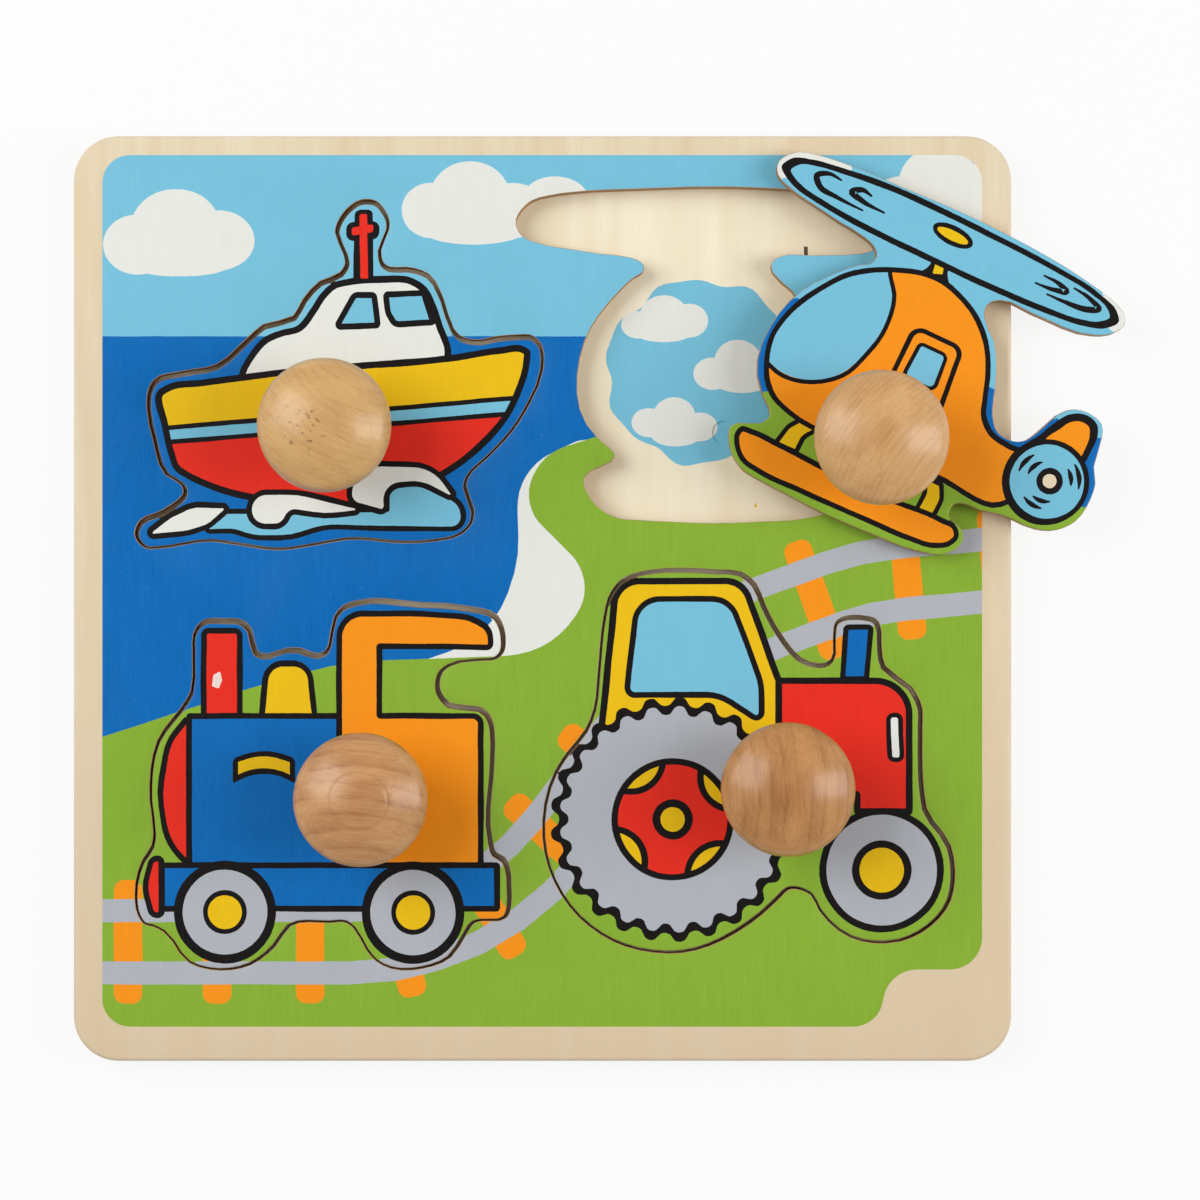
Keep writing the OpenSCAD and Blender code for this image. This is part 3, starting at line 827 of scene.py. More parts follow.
birch = {
    "roughness": 0.55,
    "broad": (5.0, 14, 2.0, 0.0),
    "broadRange": (0.3, 0.72),
    "fibres": (0.22, 40, 4.0, 3.0),
    "fibreRange": (0.35, 0.7, 0.0, 0.45),
    "pores": (0.25, 7, 1.0, 11.0),
    "poreRange": (0.73, 0.80, 0.0, 0.45),
    "poreColour": (150, 112, 72),
    "tintRange": (0.09, -0.11, 0.0, 0.75),      # from the board's far edge to its near one, in metres
    "relief": (0.3, 0.04),
}


def birchMaterial(name, light, dark, nearTint=None):
    # bare sanded birch: long soft streaks, fine fibres and short dark pores along Y
    material, tree, shader = newMaterial(name, birch["roughness"])
    broad = ranged(tree, grain(tree, birch["broad"]), *birch["broadRange"])
    shade = mixed(tree, broad, srgb(*light), srgb(*dark))
    fibres = grain(tree, birch["fibres"])
    shade = mixed(tree, ranged(tree, fibres, *birch["fibreRange"]), shade, srgb(*dark))
    if nearTint:
        along = addNode(tree, "ShaderNodeSeparateXYZ", {0: ownCoords(tree)}).outputs["Y"]
        shade = mixed(tree, ranged(tree, along, *birch["tintRange"]), shade, srgb(*nearTint))
    pores = ranged(tree, grain(tree, birch["pores"]), *birch["poreRange"])
    shade = mixed(tree, pores, shade, srgb(*birch["poreColour"]))
    finished(tree, shader, shade, fibres, *birch["relief"])
    return material


cut = {
    "roughness": 0.6,
    "ply": 1.0,                                 # thickness of one ply
    "seam": 0.012,                              # half of a glue line, as a share of the whole cut
    "wander": (2.0, 1.0, 2.0, 0.0),
    "wanderRange": (0.3, 0.7, -0.012, 0.012),
    "fibres": (0.25, 1.0, 4.0, 5.0),
    "fibreRange": (0.3, 0.75, 0.0, 0.4),
    "blotches": (4.0, 1.0, 3.0, 9.0),
    "blotchRange": (0.3, 0.7),
    "leastScorch": 0.6,                         # as a share of the most
    "relief": (0.4, 0.06),
    # light and dark plies, glue, and how dark the saw scorched them
    "inner": ((212, 168, 118), (192, 144, 94), (118, 78, 44), 0.4),
    "outer": ((232, 212, 172), (212, 184, 140), (168, 132, 90), 0.1),
}


def edgeMaterial(name, kind, bottom, top):
    # a cut through the plies, from bottom to top in millimetres
    material, tree, shader = newMaterial(name, cut["roughness"])
    light, dark, glue = [srgb(*colour) for colour in cut[kind][:3]]
    scorch = cut[kind][3]
    height = addNode(tree, "ShaderNodeSeparateXYZ", {0: ownCoords(tree)}).outputs["Z"]
    share = ranged(tree, height, bottom * mm, top * mm)
    wander = ranged(tree, grain(tree, cut["wander"]), *cut["wanderRange"])
    ramp = addNode(tree, "ShaderNodeValToRGB", {"Fac": maths(tree, "ADD", share, wander)})
    stops = ramp.color_ramp.elements
    plies = round((top - bottom) / cut["ply"])
    for ply in range(plies):
        for place in (ply / plies + cut["seam"], (ply + 1) / plies - cut["seam"]):
            stops.new(place).color = dark if ply % 2 else light
        if ply < plies - 1:
            stops.new((ply + 1) / plies).color = glue
    stops[0].color = light
    stops[len(stops) - 1].color = light
    fibres = grain(tree, cut["fibres"])
    shade = mixed(tree, ranged(tree, fibres, *cut["fibreRange"]), ramp.outputs[0], glue)
    blotches = grain(tree, cut["blotches"])
    burn = ranged(tree, blotches, *cut["blotchRange"], scorch * cut["leastScorch"], scorch)
    finished(tree, shader, mixed(tree, burn, shade, glue), fibres, *cut["relief"])
    return material


bareWood = {
    # light and dark, and for the face the tint of the board's near edge
    "face": ("birch_face", (238, 224, 194), (226, 205, 168), (222, 198, 164)),
    "floor": ("birch_floor", (252, 244, 218), (244, 231, 198)),
    "back": ("birch_back", (232, 214, 178), (214, 188, 148)),
    "lip": ("cut_lip", (206, 178, 128), (150, 116, 76)),
}
materials = {kind: birchMaterial(*look) for kind, look in bareWood.items()}
materials["ink"] = {name: inkMaterial("ink_" + name, look) for name, look in inks.items()}
print("Materials for the print and the plywood are made")


# Flat wooden parts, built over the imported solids' own outlines

plates = {
    "outerRoll": 0.9,       # rounding of the top board's outer edge
    "outerBands": 5,        # in how many bands of faces
    "backRoll": 0.6,        # rounding round the underside
    "backBands": 4,
    "seamRoll": 0.15,       # where the two boards meet
    "cutRoll": 0.1,         # sanded lip of the cuts in the top board
    "cutBands": 2,
    "pieceRoll": 0.4,       # rounding of a piece's upper edge, where the print runs over
    "pieceBands": 4,
    "bareBands": 2,         # how many of them are sanded bare
    "underRoll": 0.3,       # rounding of a piece's lower edge
    "underBands": 2,
    "headEdge": 0.3,        # straight edge of the countersunk hole
    "step": 0.7,            # spacing of the points along a piece's outline
    "level": 0.005,         # corners this near a height lie on it
    "overlap": 0.0001,
    "weld": 0.002,
    "sliver": 0.0005,
    "sharp": 32,            # degrees
}


def placed(name, data, place=(0, 0, 0)):
    made = bpy.data.objects.new(name, data)
    bpy.context.scene.collection.objects.link(made)
    made.location = place
    return made


def cadTriangles(node, place):
    # the node's triangles in millimetres of the part's own frame
    back = place.inverted()
    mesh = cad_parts[node].data
    mesh.calc_loop_triangles()
    spots = [(back @ vertex.co) / mm for vertex in mesh.vertices]
    return [[spots[i] for i in triangle.vertices] for triangle in mesh.loop_triangles]


def loopsAt(triangles, height):
    # outlines of the faces that look up at that height: the outer one first, wood on their left
    edges = {}
    spots = {}
    for triangle in triangles:
        if any(abs(corner.z - height) > plates["level"] for corner in triangle):
            continue
        keys = [(round(corner.x, 3), round(corner.y, 3)) for corner in triangle]
        for i, key in enumerate(keys):
            spots[key] = Vector((triangle[i].x, triangle[i].y))
            pair = (key, keys[(i + 1) % 3])
            if pair[::-1] in edges:
                del edges[pair[::-1]]
            else:
                edges[pair] = True
    onward = {start: end for start, end in edges}
    loops = []
    while onward:
        first = next(iter(onward))
        loop = []
        key = first
        while key in onward:
            loop.append(spots[key])
            key = onward.pop(key)
        loops.append(loop)
    return sorted(loops, key=lambda loop: -abs(areaOf(loop)))


def areaOf(loop):
    return sum(a.x * b.y - b.x * a.y for a, b in zip(loop, loop[1:] + loop[:1])) / 2


def rollOff(radius, bands=1):
    # a rounded edge, as (how far in, how far down)
    angles = [math.pi / 2 * k / bands for k in range(bands + 1)]
    return [(radius * (1 - math.sin(angle)), radius * (1 - math.cos(angle))) for angle in angles]


class Slab:
    # a closed mesh in millimetres whose faces carry the name of their material
    def __init__(self):
        self.spots = []
        self.faces = []
        self.looks = []

    def corner(self, flat, height):
        self.spots.append((flat[0], flat[1], height))
        return len(self.spots) - 1

    def face(self, corners, look):
        self.faces.append(corners)
        self.looks.append(look)

    def cover(self, loops, height, layers, bare, area=None, upward=True):
        # fills the outer loop, less the others, with the print
        # gives a rim for each loop: its edges' corners, each with the ink beside it
        lines = [loops[0]] + [loop[::-1] for loop in loops[1:]]
        clips = [area] if area else []
        for ink, points, clip in layers:
            if clip is not None and not any(clip is known for known in clips):
                clips.append(clip)
        lines += clips + [points for ink, points, clip in layers]
        flat = []
        rings = []
        for line in lines:
            rings.append(list(range(len(flat), len(flat) + len(line))))
            flat.extend(line)
        found = delaunay_2d_cdt(flat, [], rings, 0, plates["overlap"], True)
        points, _, triangles, sources, _, owners = found
        firstLayer = len(loops) + len(clips)
        indexes = {}
        used = {}
        for triangle, owner in zip(triangles, owners):
            held = set(owner)
            if 0 not in held or any(i in held for i in range(1, len(loops))):
                continue
            look = bare
            if not area or len(loops) in held:
                for i in sorted(held):
                    if i < firstLayer:
                        continue
                    ink, _, clip = layers[i - firstLayer]
                    if clip is None or len(loops) + [c is clip for c in clips].index(True) in held:
                        look = ink
            for i in triangle:
                if i not in indexes:
                    indexes[i] = self.corner(points[i], height)
            corners = [indexes[i] for i in triangle]
            for a, b in zip(triangle, list(triangle[1:]) + [triangle[0]]):
                used[(a, b)] = look
            self.face(corners if upward else corners[::-1], look)
        atSource = {}
        for i, known in enumerate(sources):
            for source in known:
                atSource[source] = i
        onRim = {}
        for a, b in used:
            if (b, a) not in used:
                onRim[a] = b
        rims = []
        start = 0
        for number, loop in enumerate(loops):
            ids = list(range(start, start + len(loop)))
            start += len(loop)
            if number > 0:
                ids = ids[::-1]
            ends = [atSource[i] for i in ids]
            rim = []
            for j, end in enumerate(ends):
                goal = ends[(j + 1) % len(ends)]
                steps = [end]
                while steps[-1] != goal:
                    steps.append(onRim[steps[-1]])
                rim.append(([indexes[i] for i in steps], used[(steps[0], steps[1])]))
            rims.append(rim)
        return rims

    def band(self, rim, loop, height, look=None):
        # faces from a rim down to a loop, in the rim's own ink unless a look is given; gives the next rim
        ring = [self.corner(point, height) for point in loop]
        below = []
        for j, (corners, ink) in enumerate(rim):
            ends = [ring[j], ring[(j + 1) % len(ring)]]
            self.face(ends + corners[::-1], look or ink)
            below.append((ends, ink))
        return below

    def joined(self, rim, floorRim, look):
        # faces between the rim of a hole and that of the floor in it, which runs the other way
        for j, (corners, _) in enumerate(rim):
            below = floorRim[len(rim) - 2 - j][0]
            self.face(below[::-1] + corners[::-1], look)

    def made(self, name, place, looks):
        # the object stays unturned: the turn goes into its mesh
        turned = place.to_3x3()
        mesh = bpy.data.meshes.new(name)
        mesh.from_pydata([turned @ Vector(spot) * mm for spot in self.spots], [], self.faces)
        names = sorted(set(self.looks))
        for look in names:
            mesh.materials.append(looks(look))
        for polygon, look in zip(mesh.polygons, self.looks):
            polygon.material_index = names.index(look)
        tidy = bmesh.new()
        tidy.from_mesh(mesh)
        bmesh.ops.remove_doubles(tidy, verts=tidy.verts, dist=plates["weld"] * mm)
        bmesh.ops.dissolve_degenerate(tidy, edges=tidy.edges, dist=plates["sliver"] * mm)
        for face in tidy.faces:
            face.smooth = True
        tidy.to_mesh(mesh)
        tidy.free()
        mesh.set_sharp_from_angle(angle=math.radians(plates["sharp"]))
        return placed(name, mesh, place.translation)


def lookUp(edge, printed):
    # a face's material by the name that the slab gave it
    def found(look):
        if look in printed:
            return printed[look]
        return edge if look == "edge" else materials[look]
    return found


def frameBoard():
    low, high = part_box("frame_board")
    bottom, top = low.z / mm, high.z / mm
    triangles = cadTriangles("frame_board", Matrix.Identity(4))
    walls = loopsAt(triangles, top)
    slab = Slab()
    rolls = [plates["outerRoll"]] + [plates["cutRoll"]] * (len(walls) - 1)
    topLoops = [inset(loop, roll) for loop, roll in zip(walls, rolls)]
    rims = slab.cover(topLoops, top, sheetLayers(), "face", rounded(sheet["area"]))
    for number, (wall, roll, rim) in enumerate(zip(walls, rolls, rims)):
        look = "face" if number == 0 else "lip"
        for inward, down in rollOff(roll, plates["cutBands" if number else "outerBands"])[1:]:
            rim = slab.band(rim, inset(wall, inward), top - down, look)
        slab.band(rim, wall, bottom, "edge" if number == 0 else "kerf")
    slab.cover(walls, bottom, [], "back", upward=False)
    return slab, bottom, top


def baseBoard():
    low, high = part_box("base_board")
    bottom, top = low.z / mm, high.z / mm
    triangles = cadTriangles("base_board", Matrix.Identity(4))
    walls = loopsAt(triangles, top)
    reliefs = walls[1:]
    wall = walls[0]
    slab = Slab()
    topLoops = [inset(wall, plates["seamRoll"])] + reliefs
    rims = slab.cover(topLoops, top, floorLayers(), "floor")
    rim = rims[0]
    for inward, down in rollOff(plates["seamRoll"])[1:]:
        rim = slab.band(rim, inset(wall, inward), top - down, "edge")
    for inward, down in rollOff(plates["backRoll"], plates["backBands"])[::-1]:
        rim = slab.band(rim, inset(wall, inward), bottom + down, "edge")
    slab.cover([inset(wall, plates["backRoll"])], bottom, [], "back", upward=False)
    depth = min(corner.z for triangle in triangles for corner in triangle if corner.z > top - 1)
    for relief, rim in zip(reliefs, rims[1:]):
        floorRims = slab.cover([relief[::-1]], depth, floorLayers(), "floor")
        slab.joined(rim, floorRims[0], "floor")
    return slab, bottom, top


def placeOf(knobNode, turn=0.0):
    # the own frame of a piece: its knob's axis, at its underside
    low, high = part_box(knobNode)
    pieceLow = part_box(knobNode.replace("knob", "piece"))[0]
    middle = (low + high) / 2
    return Matrix.Translation((middle.x, middle.y, pieceLow.z)) @ Matrix.Rotation(math.radians(turn), 4, "Z")


def pieceSlab(node, place, figure, seatedAt):
    triangles = cadTriangles(node, place)
    top = max(corner.z for triangle in triangles for corner in triangle)
    loops = loopsAt(triangles, top)
    wall, hole = densified(loops[0], plates["step"]), loops[1]
    under = [corner for triangle in triangles for corner in triangle if corner.z < plates["level"]]
    headRadius = min(math.hypot(corner.x, corner.y) for corner in under)
    holeRadius = hole[0].length
    sheetHere = []
    for ink, points, clip in sheetLayers():
        sheetHere.append((ink, [point - Vector(seatedAt) for point in points], clip))
    slab = Slab()
    rims = slab.cover([inset(wall, plates["pieceRoll"]), hole], top, sheetHere + figure, "face")
    rim = rims[0]
    bands = rollOff(plates["pieceRoll"], plates["pieceBands"])[1:]
    for number, (inward, down) in enumerate(bands):
        look = "lip" if number >= len(bands) - plates["bareBands"] else None
        rim = slab.band(rim, inset(wall, inward), top - down, look)
    for inward, down in rollOff(plates["underRoll"], plates["underBands"])[::-1]:
        rim = slab.band(rim, inset(wall, inward), down, "edge")
    rim = rims[1]
    headEdge = plates["headEdge"]
    cone = headRadius - holeRadius
    for radius, height in ((holeRadius, headEdge + cone), (headRadius, headEdge), (headRadius, 0)):
        widened = [point.normalized() * radius for point in hole]
        rim = slab.band(rim, widened, height, "back")
    slab.cover([inset(wall, plates["underRoll"]), widened], 0, [], "back", upward=False)
    return slab, top


slab, bottom, top = frameBoard()
materials["kerf"] = edgeMaterial("cut_walls", "inner", bottom, top)
edge = edgeMaterial("board_edge", "outer", bottom, top)
board = slab.made("printed_board", Matrix.Identity(4), lookUp(edge, materials["ink"]))
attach(board, "board")
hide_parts("frame_board")
slab, bottom, top = baseBoard()
edge = edgeMaterial("backing_edge", "outer", bottom, top)
back = slab.made("backing_board", Matrix.Identity(4), lookUp(edge, materials["ink"]))
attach(back, "board")
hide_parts("base_board")
print("Boards: %d and %d faces" % (len(board.data.polygons), len(back.data.polygons)))

figures = {
    "boat": boatLayers(),
    "train": trainLayers(),
    "tractor": tractorLayers(),
    "helicopter": helicopterLayers(),
}
places = {}
for name, figure in figures.items():
    turn = helicopter["turn"] if name == "helicopter" else 0.0
    place = placeOf(name + "_knob", turn)
    places[name] = place
    seatedAt = helicopter["seatedAt"] if name == "helicopter" else (place.translation / mm)[:2]
    slab, top = pieceSlab(name + "_piece", place, figure, seatedAt)
    printed = materials["ink"]
    if turn:
        printed = {ink: inkMaterial(name + "_" + ink, look, math.radians(turn)) for ink, look in inks.items()}
    edge = edgeMaterial(name + "_edge", "inner", 0, top)
    piece = slab.made(name + "_cutout", place, lookUp(edge, printed))
    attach(piece, name)
    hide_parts(name + "_piece")
    print("%s: %d faces" % (piece.name, len(piece.data.polygons)))


# Knobs, turned from beech. Lengths are in millimetres.

knob = {
    "crownRadius": 23.0,
    "crownShare": 0.477,        # where the crown's arc meets its slope
    "shoulderShare": 0.767,     # heights, as shares of the knob's
    "undersideShare": 0.55,
    "neckTopShare": 0.35,
    "neckLowShare": 0.12,
    "rimRadius": 5.0,
    "neckDiameter": 14.0,
    "neckRadius": 4.0,
    "footDiameter": 17.0,
    "footEdge": 1.0,
    "footRound": 0.6,
    "pilotRadius": 1.53,
    "pilotDepth": 12.0,
    "arcStep": 3,               # degrees
    "segments": 144,
    "step": 0.35,               # spacing of the rings along the profile
    "onAxis": 1e-5,
    "sharp": 40,                # degrees
    "markedFrom": 0.8,          # the lathe's marks are above this share of the height
    "centreMark": (0.9, 0.16),  # radius and depth
    "grooveWidth": 0.3,
    "grooveDepth": 0.08,
    "grooveReach": (0.1, 0.55),     # how far the painted shade in the groove reaches from its middle
    # how strongly the painted shade darkens the groove
    "grooveShare": 0.16,
}

knobLooks = {
    # the way of the grain in degrees, the growth rings' spacing, strength and wandering, where the middle
    # of the tree was, across the grain and up, and the radius of the lathe's groove, if there is one
    "boat": {"light": (226, 182, 120), "dark": (194, 145, 87), "turn": 60, "rings": 1.5, "ringShare": 0.26,
             "wander": 3.6, "pith": (-52, -8), "flecks": 0.2, "pits": 0.9, "seed": 20.0},
    "train": {"light": (218, 165, 111), "dark": (170, 112, 66), "turn": 86, "rings": 3.3, "ringShare": 0.34,
              "wander": 3.2, "pith": (58, -4), "flecks": 0.2, "groove": 6.7, "seed": 50.0},
    "tractor": {"light": (208, 151, 94), "dark": (160, 104, 54), "turn": 2, "rings": 2.9, "ringShare": 0.3,
                "wander": 3.2, "pith": (70, -4), "flecks": 0.2, "seed": 90.0},
    "helicopter": {"light": (226, 179, 122), "dark": (189, 136, 81), "turn": -38, "rings": 1.3,
                   "ringShare": 0.26, "wander": 2.8, "pith": (-60, -4), "flecks": 0.35,
                   "seed": 130.0},
}
pitPatch = {"middle": (-4.5, -0.5, 24.0), "reach": (3.5, 7.5)}     # where the boat's knob has open pores
paintedCrownShade = {"middle": (0.0, 0.0, 25.0), "reach": (1.0, 8.5), "share": 0.38}    # painted shade: the middle of the crown a little darker, where the lamps at the sides leave the top dim


def knobProfile(radius, height, groove=None):
    neck = knob["neckDiameter"] / 2
    foot = knob["footDiameter"] / 2
    corners = [
        (knob["pilotRadius"], 0, 0), (foot, 0, 0), (foot, knob["footEdge"], knob["footRound"]),
        (neck, height * knob["neckLowShare"], knob["neckRadius"]),
        (neck, height * knob["neckTopShare"], knob["neckRadius"]),
        (radius, height * knob["undersideShare"], knob["rimRadius"]),
        (radius, height * knob["shoulderShare"], knob["rimRadius"]),
        (radius * knob["crownShare"], height, knob["crownRadius"]),
        (0, height, 0), (0, knob["pilotDepth"], 0), (knob["pilotRadius"], knob["pilotDepth"], 0),
    ]
    profile = densified(rounded(corners, arcStep=knob["arcStep"]), knob["step"])
    marks = [(0, *knob["centreMark"])]
    if groove:
        marks.append((groove, knob["grooveWidth"], knob["grooveDepth"]))
    for point in profile:
        if point.y > height * knob["markedFrom"]:
            for radius, width, depth in marks:
                point.y -= depth * math.exp(-((point.x - radius) / width) ** 2)
    return profile


def turnedMesh(name, profile):
    build = bmesh.new()
    segments = knob["segments"]
    rings = []
    for point in profile:
        ring = []
        for k in range(1 if point.x < knob["onAxis"] else segments):
            angle = math.tau * k / segments
            spot = Vector((point.x * math.cos(angle), point.x * math.sin(angle), point.y))
            ring.append(build.verts.new(spot * mm))
        rings.append(ring)
    for ring, ahead in zip(rings, rings[1:] + rings[:1]):
        if len(ring) == 1 and len(ahead) == 1:
            continue
        for k in range(segments):
            n = (k + 1) % segments
            if len(ring) == 1:
                corners = (ring[0], ahead[n], ahead[k])
            elif len(ahead) == 1:
                corners = (ring[k], ring[n], ahead[0])
            else:
                corners = (ring[k], ring[n], ahead[n], ahead[k])
            build.faces.new(corners).smooth = True
    for vertex in [vertex for vertex in build.verts if not vertex.link_faces]:
        build.verts.remove(vertex)
    mesh = bpy.data.meshes.new(name)
    build.to_mesh(mesh)
    build.free()
    mesh.set_sharp_from_angle(angle=math.radians(knob["sharp"]))
    return mesh


beech = {
    "surface": (0.42, 0.25, 0.6, 0.23),     # roughness, specular level, coat and the coat's roughness
    "sway": (9.0, 3.0, 2.0, 0),
    "lateWood": ((0.55, 0.25), (0.86, 1.0)),    # where in a growth ring it is how dark
    "lateRange": (0.4, 0.58),
    "leastLate": 0.3,
    "fibres": (0.42, 28, 4.0, 1),
    "fibreRange": (0.3, 0.7, 0.0, 0.35),
    "broad": (5.0, 3.0, 2.0, 2),
    "broadRange": (0.35, 0.7, 0.0, 0.35),
    "flecks": (0.25, 5.0, 1.0, 3),
    "fleckRange": (0.72, 0.78, 0.0),
    "fleckShade": 0.5,
    # how dark the painted shade in the groove is, as a share of the dark wood
    "grooveShade": 0.8,
    "pits": (0.85, 2.2, 3.0, 4),
    "pitRange": (0.61, 0.66),
    "pitShade": 0.45,
    "relief": (0.25, 0.05),
}


def nearby(tree, patch):
    # 1 near a spot of the knob and 0 away from it
    middle = [length * mm for length in patch["middle"]]
    inputs = {0: ownCoords(tree), 1: middle}
    away = addNode(tree, "ShaderNodeVectorMath", inputs, operation="DISTANCE").outputs["Value"]
    near, far = patch["reach"]
    return ranged(tree, away, near * mm, far * mm, 1.0, 0.0)


def grooveShade(tree, radius):
    # 1 in the ring that the lathe left on the crown, where its shade is painted, and 0 beside it
    inputs = {0: ownCoords(tree), 1: (1, 1, 0)}
    flat = addNode(tree, "ShaderNodeVectorMath", inputs, operation="MULTIPLY").outputs[0]
    away = addNode(tree, "ShaderNodeVectorMath", {0: flat}, operation="LENGTH").outputs["Value"]
    off = maths(tree, "ABSOLUTE", maths(tree, "SUBTRACT", away, radius * mm))
    near, far = knob["grooveReach"]
    return ranged(tree, off, near * mm, far * mm, 1.0, 0.0)


def growthRings(tree, look, turn):
    # how dark the growth rings are: they lie round a line along the grain, beside the knob
    inputs = {"Vector": ownCoords(tree), "Rotation": (0, 0, turn)}
    laid = addNode(tree, "ShaderNodeMapping", inputs, vector_type="TEXTURE").outputs[0]
    across = addNode(tree, "ShaderNodeSeparateXYZ", {0: laid})
    squares = []
    for axis, middle in zip("XZ", look["pith"]):
        away = maths(tree, "SUBTRACT", across.outputs[axis], middle * mm)
        squares.append(maths(tree, "POWER", away, 2.0))
    distance = maths(tree, "SQRT", maths(tree, "ADD", *squares))
    sway = grain(tree, beech["sway"], turn, look["seed"])
    distance = maths(tree, "ADD", distance, ranged(tree, sway, 0.0, 1.0, 0.0, look["wander"] * mm))
    phase = maths(tree, "FRACT", maths(tree, "DIVIDE", distance, look["rings"] * mm))
    late = addNode(tree, "ShaderNodeValToRGB", {"Fac": phase})
    stops = late.color_ramp.elements
    for stop in stops:
        stop.color = (0, 0, 0, 1)
    for place, share in beech["lateWood"]:
        stops.new(place).color = (share, share, share, 1)
    return late.outputs[0]


def beechMaterial(name, look):
    material, tree, shader = newMaterial(name, *beech["surface"])
    turn = math.radians(look["turn"])
    noises = {}
    for kind in ("fibres", "broad", "flecks", "pits"):
        noises[kind] = grain(tree, beech[kind], turn, look["seed"])
    light, dark = srgb(*look["light"]), srgb(*look["dark"])
    most = look["ringShare"]
    strength = ranged(tree, noises["broad"], *beech["lateRange"], most * beech["leastLate"], most)
    amount = maths(tree, "MULTIPLY", growthRings(tree, look, turn), strength)
    for kind, reach in (("fibres", "fibreRange"), ("broad", "broadRange")):
        amount = maths(tree, "ADD", amount, ranged(tree, noises[kind], *beech[reach]))
    # painted shade: the middle of the crown is darkened, where the side lamps light it least
    crown = maths(tree, "MULTIPLY", nearby(tree, paintedCrownShade), paintedCrownShade["share"])
    amount = maths(tree, "ADD", amount, crown)
    shade = mixed(tree, amount, light, dark)
    flecks = ranged(tree, noises["flecks"], *beech["fleckRange"], look["flecks"])
    shade = mixed(tree, flecks, shade, scaledColour(dark, beech["fleckShade"]))
    if "groove" in look:
        # painted shade in the lathe's groove
        paintedGrooveShade = maths(tree, "MULTIPLY", grooveShade(tree, look["groove"]), knob["grooveShare"])
        shade = mixed(tree, paintedGrooveShade, shade, scaledColour(dark, beech["grooveShade"]))
    height = noises["fibres"]
    if "pits" in look:
        pores = ranged(tree, noises["pits"], *beech["pitRange"])
        holes = maths(tree, "MULTIPLY", pores, nearby(tree, pitPatch))
        dug = maths(tree, "MULTIPLY", holes, look["pits"])
        shade = mixed(tree, dug, shade, scaledColour(dark, beech["pitShade"]))
        height = maths(tree, "SUBTRACT", height, holes)
    finished(tree, shader, shade, height, *beech["relief"])
    return material


for name, look in knobLooks.items():
    low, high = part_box(name + "_knob")
    radius = (high.x - low.x) / 2 / mm
    mesh = turnedMesh(name + "_grip", knobProfile(radius, (high.z - low.z) / mm, look.get("groove")))
    mesh.materials.append(beechMaterial("beech_" + name, look))
    grip = placed(name + "_grip", mesh, (*places[name].translation[:2], low.z))
    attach(grip, name)
    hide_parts(name + "_knob")
print("Knobs are turned")


# Screws keep their solids

zinc = {
    "roughness": 0.34,
    "patches": (0.6, 1.0, 4.0, 0.0),
    "shadeRange": (0.35, 0.7),
    "light": (196, 198, 200),
    "dark": (164, 168, 174),
    "glossRange": (0.3, 0.7, 0.26, 0.46),
    "relief": (0.2, 0.02),
    "sharp": 30,                # degrees
}


def zincMaterial():
    material, tree, shader = newMaterial("zinc", zinc["roughness"])
    shader.inputs["Metallic"].default_value = 1.0
    patches = grain(tree, zinc["patches"])
    shade = mixed(tree, ranged(tree, patches, *zinc["shadeRange"]), srgb(*zinc["light"]), srgb(*zinc["dark"]))
    tree.links.new(ranged(tree, patches, *zinc["glossRange"]), shader.inputs["Roughness"])
    finished(tree, shader, shade, patches, *zinc["relief"])
    return material


plated = zincMaterial()
for name in figures:
    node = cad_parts[name + "_screw"]
    for slotOfNode in node.material_slots:
        slotOfNode.material = plated
    for polygon in node.data.polygons:
        polygon.use_smooth = True
    node.data.set_sharp_from_angle(angle=math.radians(zinc["sharp"]))
print("Screws are plated")


# Floor, light and camera

studio = {
    "floorSize": 6.0,
    "floorDrop": 0.0001,        # the floor lies this far under the board, in metres
    "floorColour": (0.86, 0.86, 0.86, 1.0),
    "glow": 0.86,               # share of the floor that the camera sees as plain white
    "worldStrength": 0.35,
    "camera": (0.0135, -0.00035, 0.908),
    "viewWidth": 0.2814,        # width of the view at the top board's face, 0.9 m below the camera
    "sensor": 36.0,
}

lamps = [
    # name, place, size, watts
    ("leftBox", (-0.78, 0.34, 0.80), (0.75, 0.85), 8.0),
    ("rightBox", (0.86, 0.02, 0.62), (0.45, 0.85), 5.6),
]


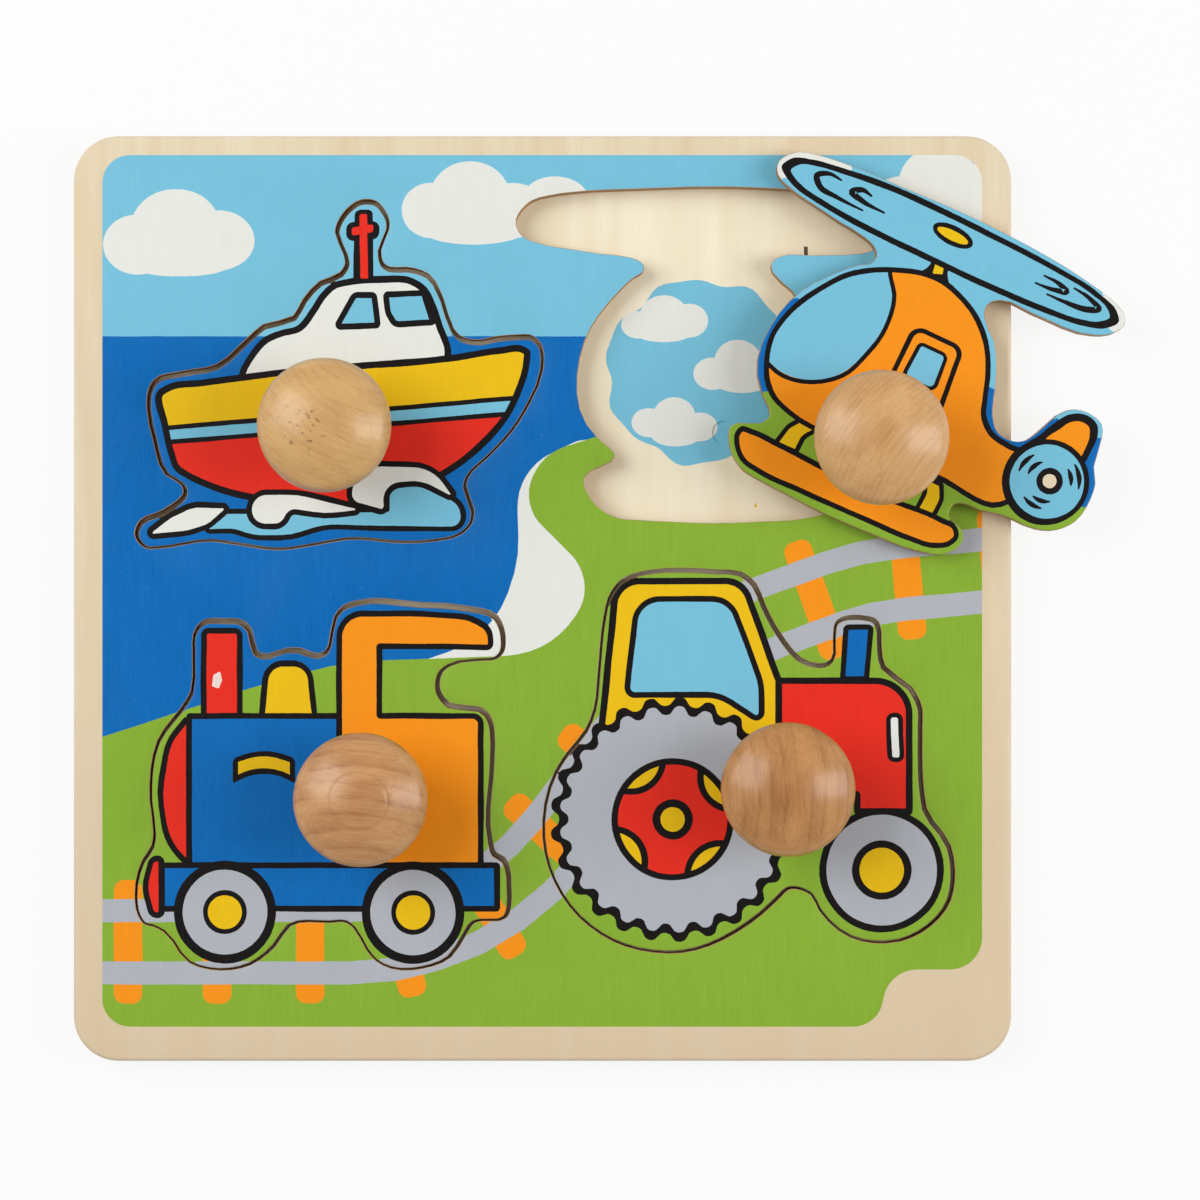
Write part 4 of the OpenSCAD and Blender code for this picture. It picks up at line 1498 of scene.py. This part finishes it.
def floorMaterial():
    material = bpy.data.materials.new("paper")
    tree = emptyTree(material)
    paper = addNode(tree, "ShaderNodeBsdfDiffuse", {"Color": studio["floorColour"]}).outputs[0]
    glow = addNode(tree, "ShaderNodeEmission", {"Color": (1, 1, 1, 1), "Strength": 1.0}).outputs[0]
    rays = addNode(tree, "ShaderNodeLightPath")
    seen = maths(tree, "MAXIMUM", rays.outputs["Is Camera Ray"], rays.outputs["Is Glossy Ray"])
    seen = maths(tree, "MAXIMUM", seen, rays.outputs["Is Transmission Ray"])
    share = maths(tree, "MULTIPLY", seen, studio["glow"])
    blend = addNode(tree, "ShaderNodeMixShader", {0: share, 1: paper, 2: glow}).outputs[0]
    # from below the floor is clear, so that the underside can be seen
    clear = addNode(tree, "ShaderNodeBsdfTransparent").outputs[0]
    below = addNode(tree, "ShaderNodeNewGeometry").outputs["Backfacing"]
    either = addNode(tree, "ShaderNodeMixShader", {0: below, 1: blend, 2: clear}).outputs[0]
    addNode(tree, "ShaderNodeOutputMaterial", {"Surface": either})
    return material


def studioWorld():
    world = bpy.data.worlds.new("studio")
    tree = emptyTree(world)
    rays = addNode(tree, "ShaderNodeLightPath")
    soft = addNode(tree, "ShaderNodeBackground", {"Color": (1, 1, 1, 1), "Strength": studio["worldStrength"]})
    white = addNode(tree, "ShaderNodeBackground", {"Color": (1, 1, 1, 1), "Strength": 1.0})
    inputs = {0: rays.outputs["Is Camera Ray"], 1: soft.outputs[0], 2: white.outputs[0]}
    blend = addNode(tree, "ShaderNodeMixShader", inputs)
    addNode(tree, "ShaderNodeOutputWorld", {"Surface": blend.outputs[0]})
    bpy.context.scene.world = world


def addFloor():
    mesh = bpy.data.meshes.new("paper_floor")
    half = studio["floorSize"] / 2
    corners = [(-half, -half), (half, -half), (half, half), (-half, half)]
    mesh.from_pydata([(x, y, -studio["floorDrop"]) for x, y in corners], [], [(0, 1, 2, 3)])
    mesh.materials.append(floorMaterial())
    placed("paper_floor", mesh)


def addLamp(name, place, size, watts):
    data = bpy.data.lights.new(name, "AREA")
    data.shape = "RECTANGLE"
    data.size, data.size_y = size
    data.energy = watts
    lamp = placed(name, data, place)
    lamp.rotation_euler = (-Vector(place)).to_track_quat("-Z", "Y").to_euler()


def addCamera():
    data = bpy.data.cameras.new("overhead")
    data.sensor_width = studio["sensor"]
    distance = studio["camera"][2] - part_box("frame_board")[1].z
    data.lens = studio["sensor"] * distance / studio["viewWidth"]
    bpy.context.scene.camera = placed("overhead", data, studio["camera"])


addFloor()
studioWorld()
for lamp in lamps:
    addLamp(*lamp)
addCamera()
bpy.context.scene.view_settings.view_transform = "Standard"
print("Floor, lights and camera are set")
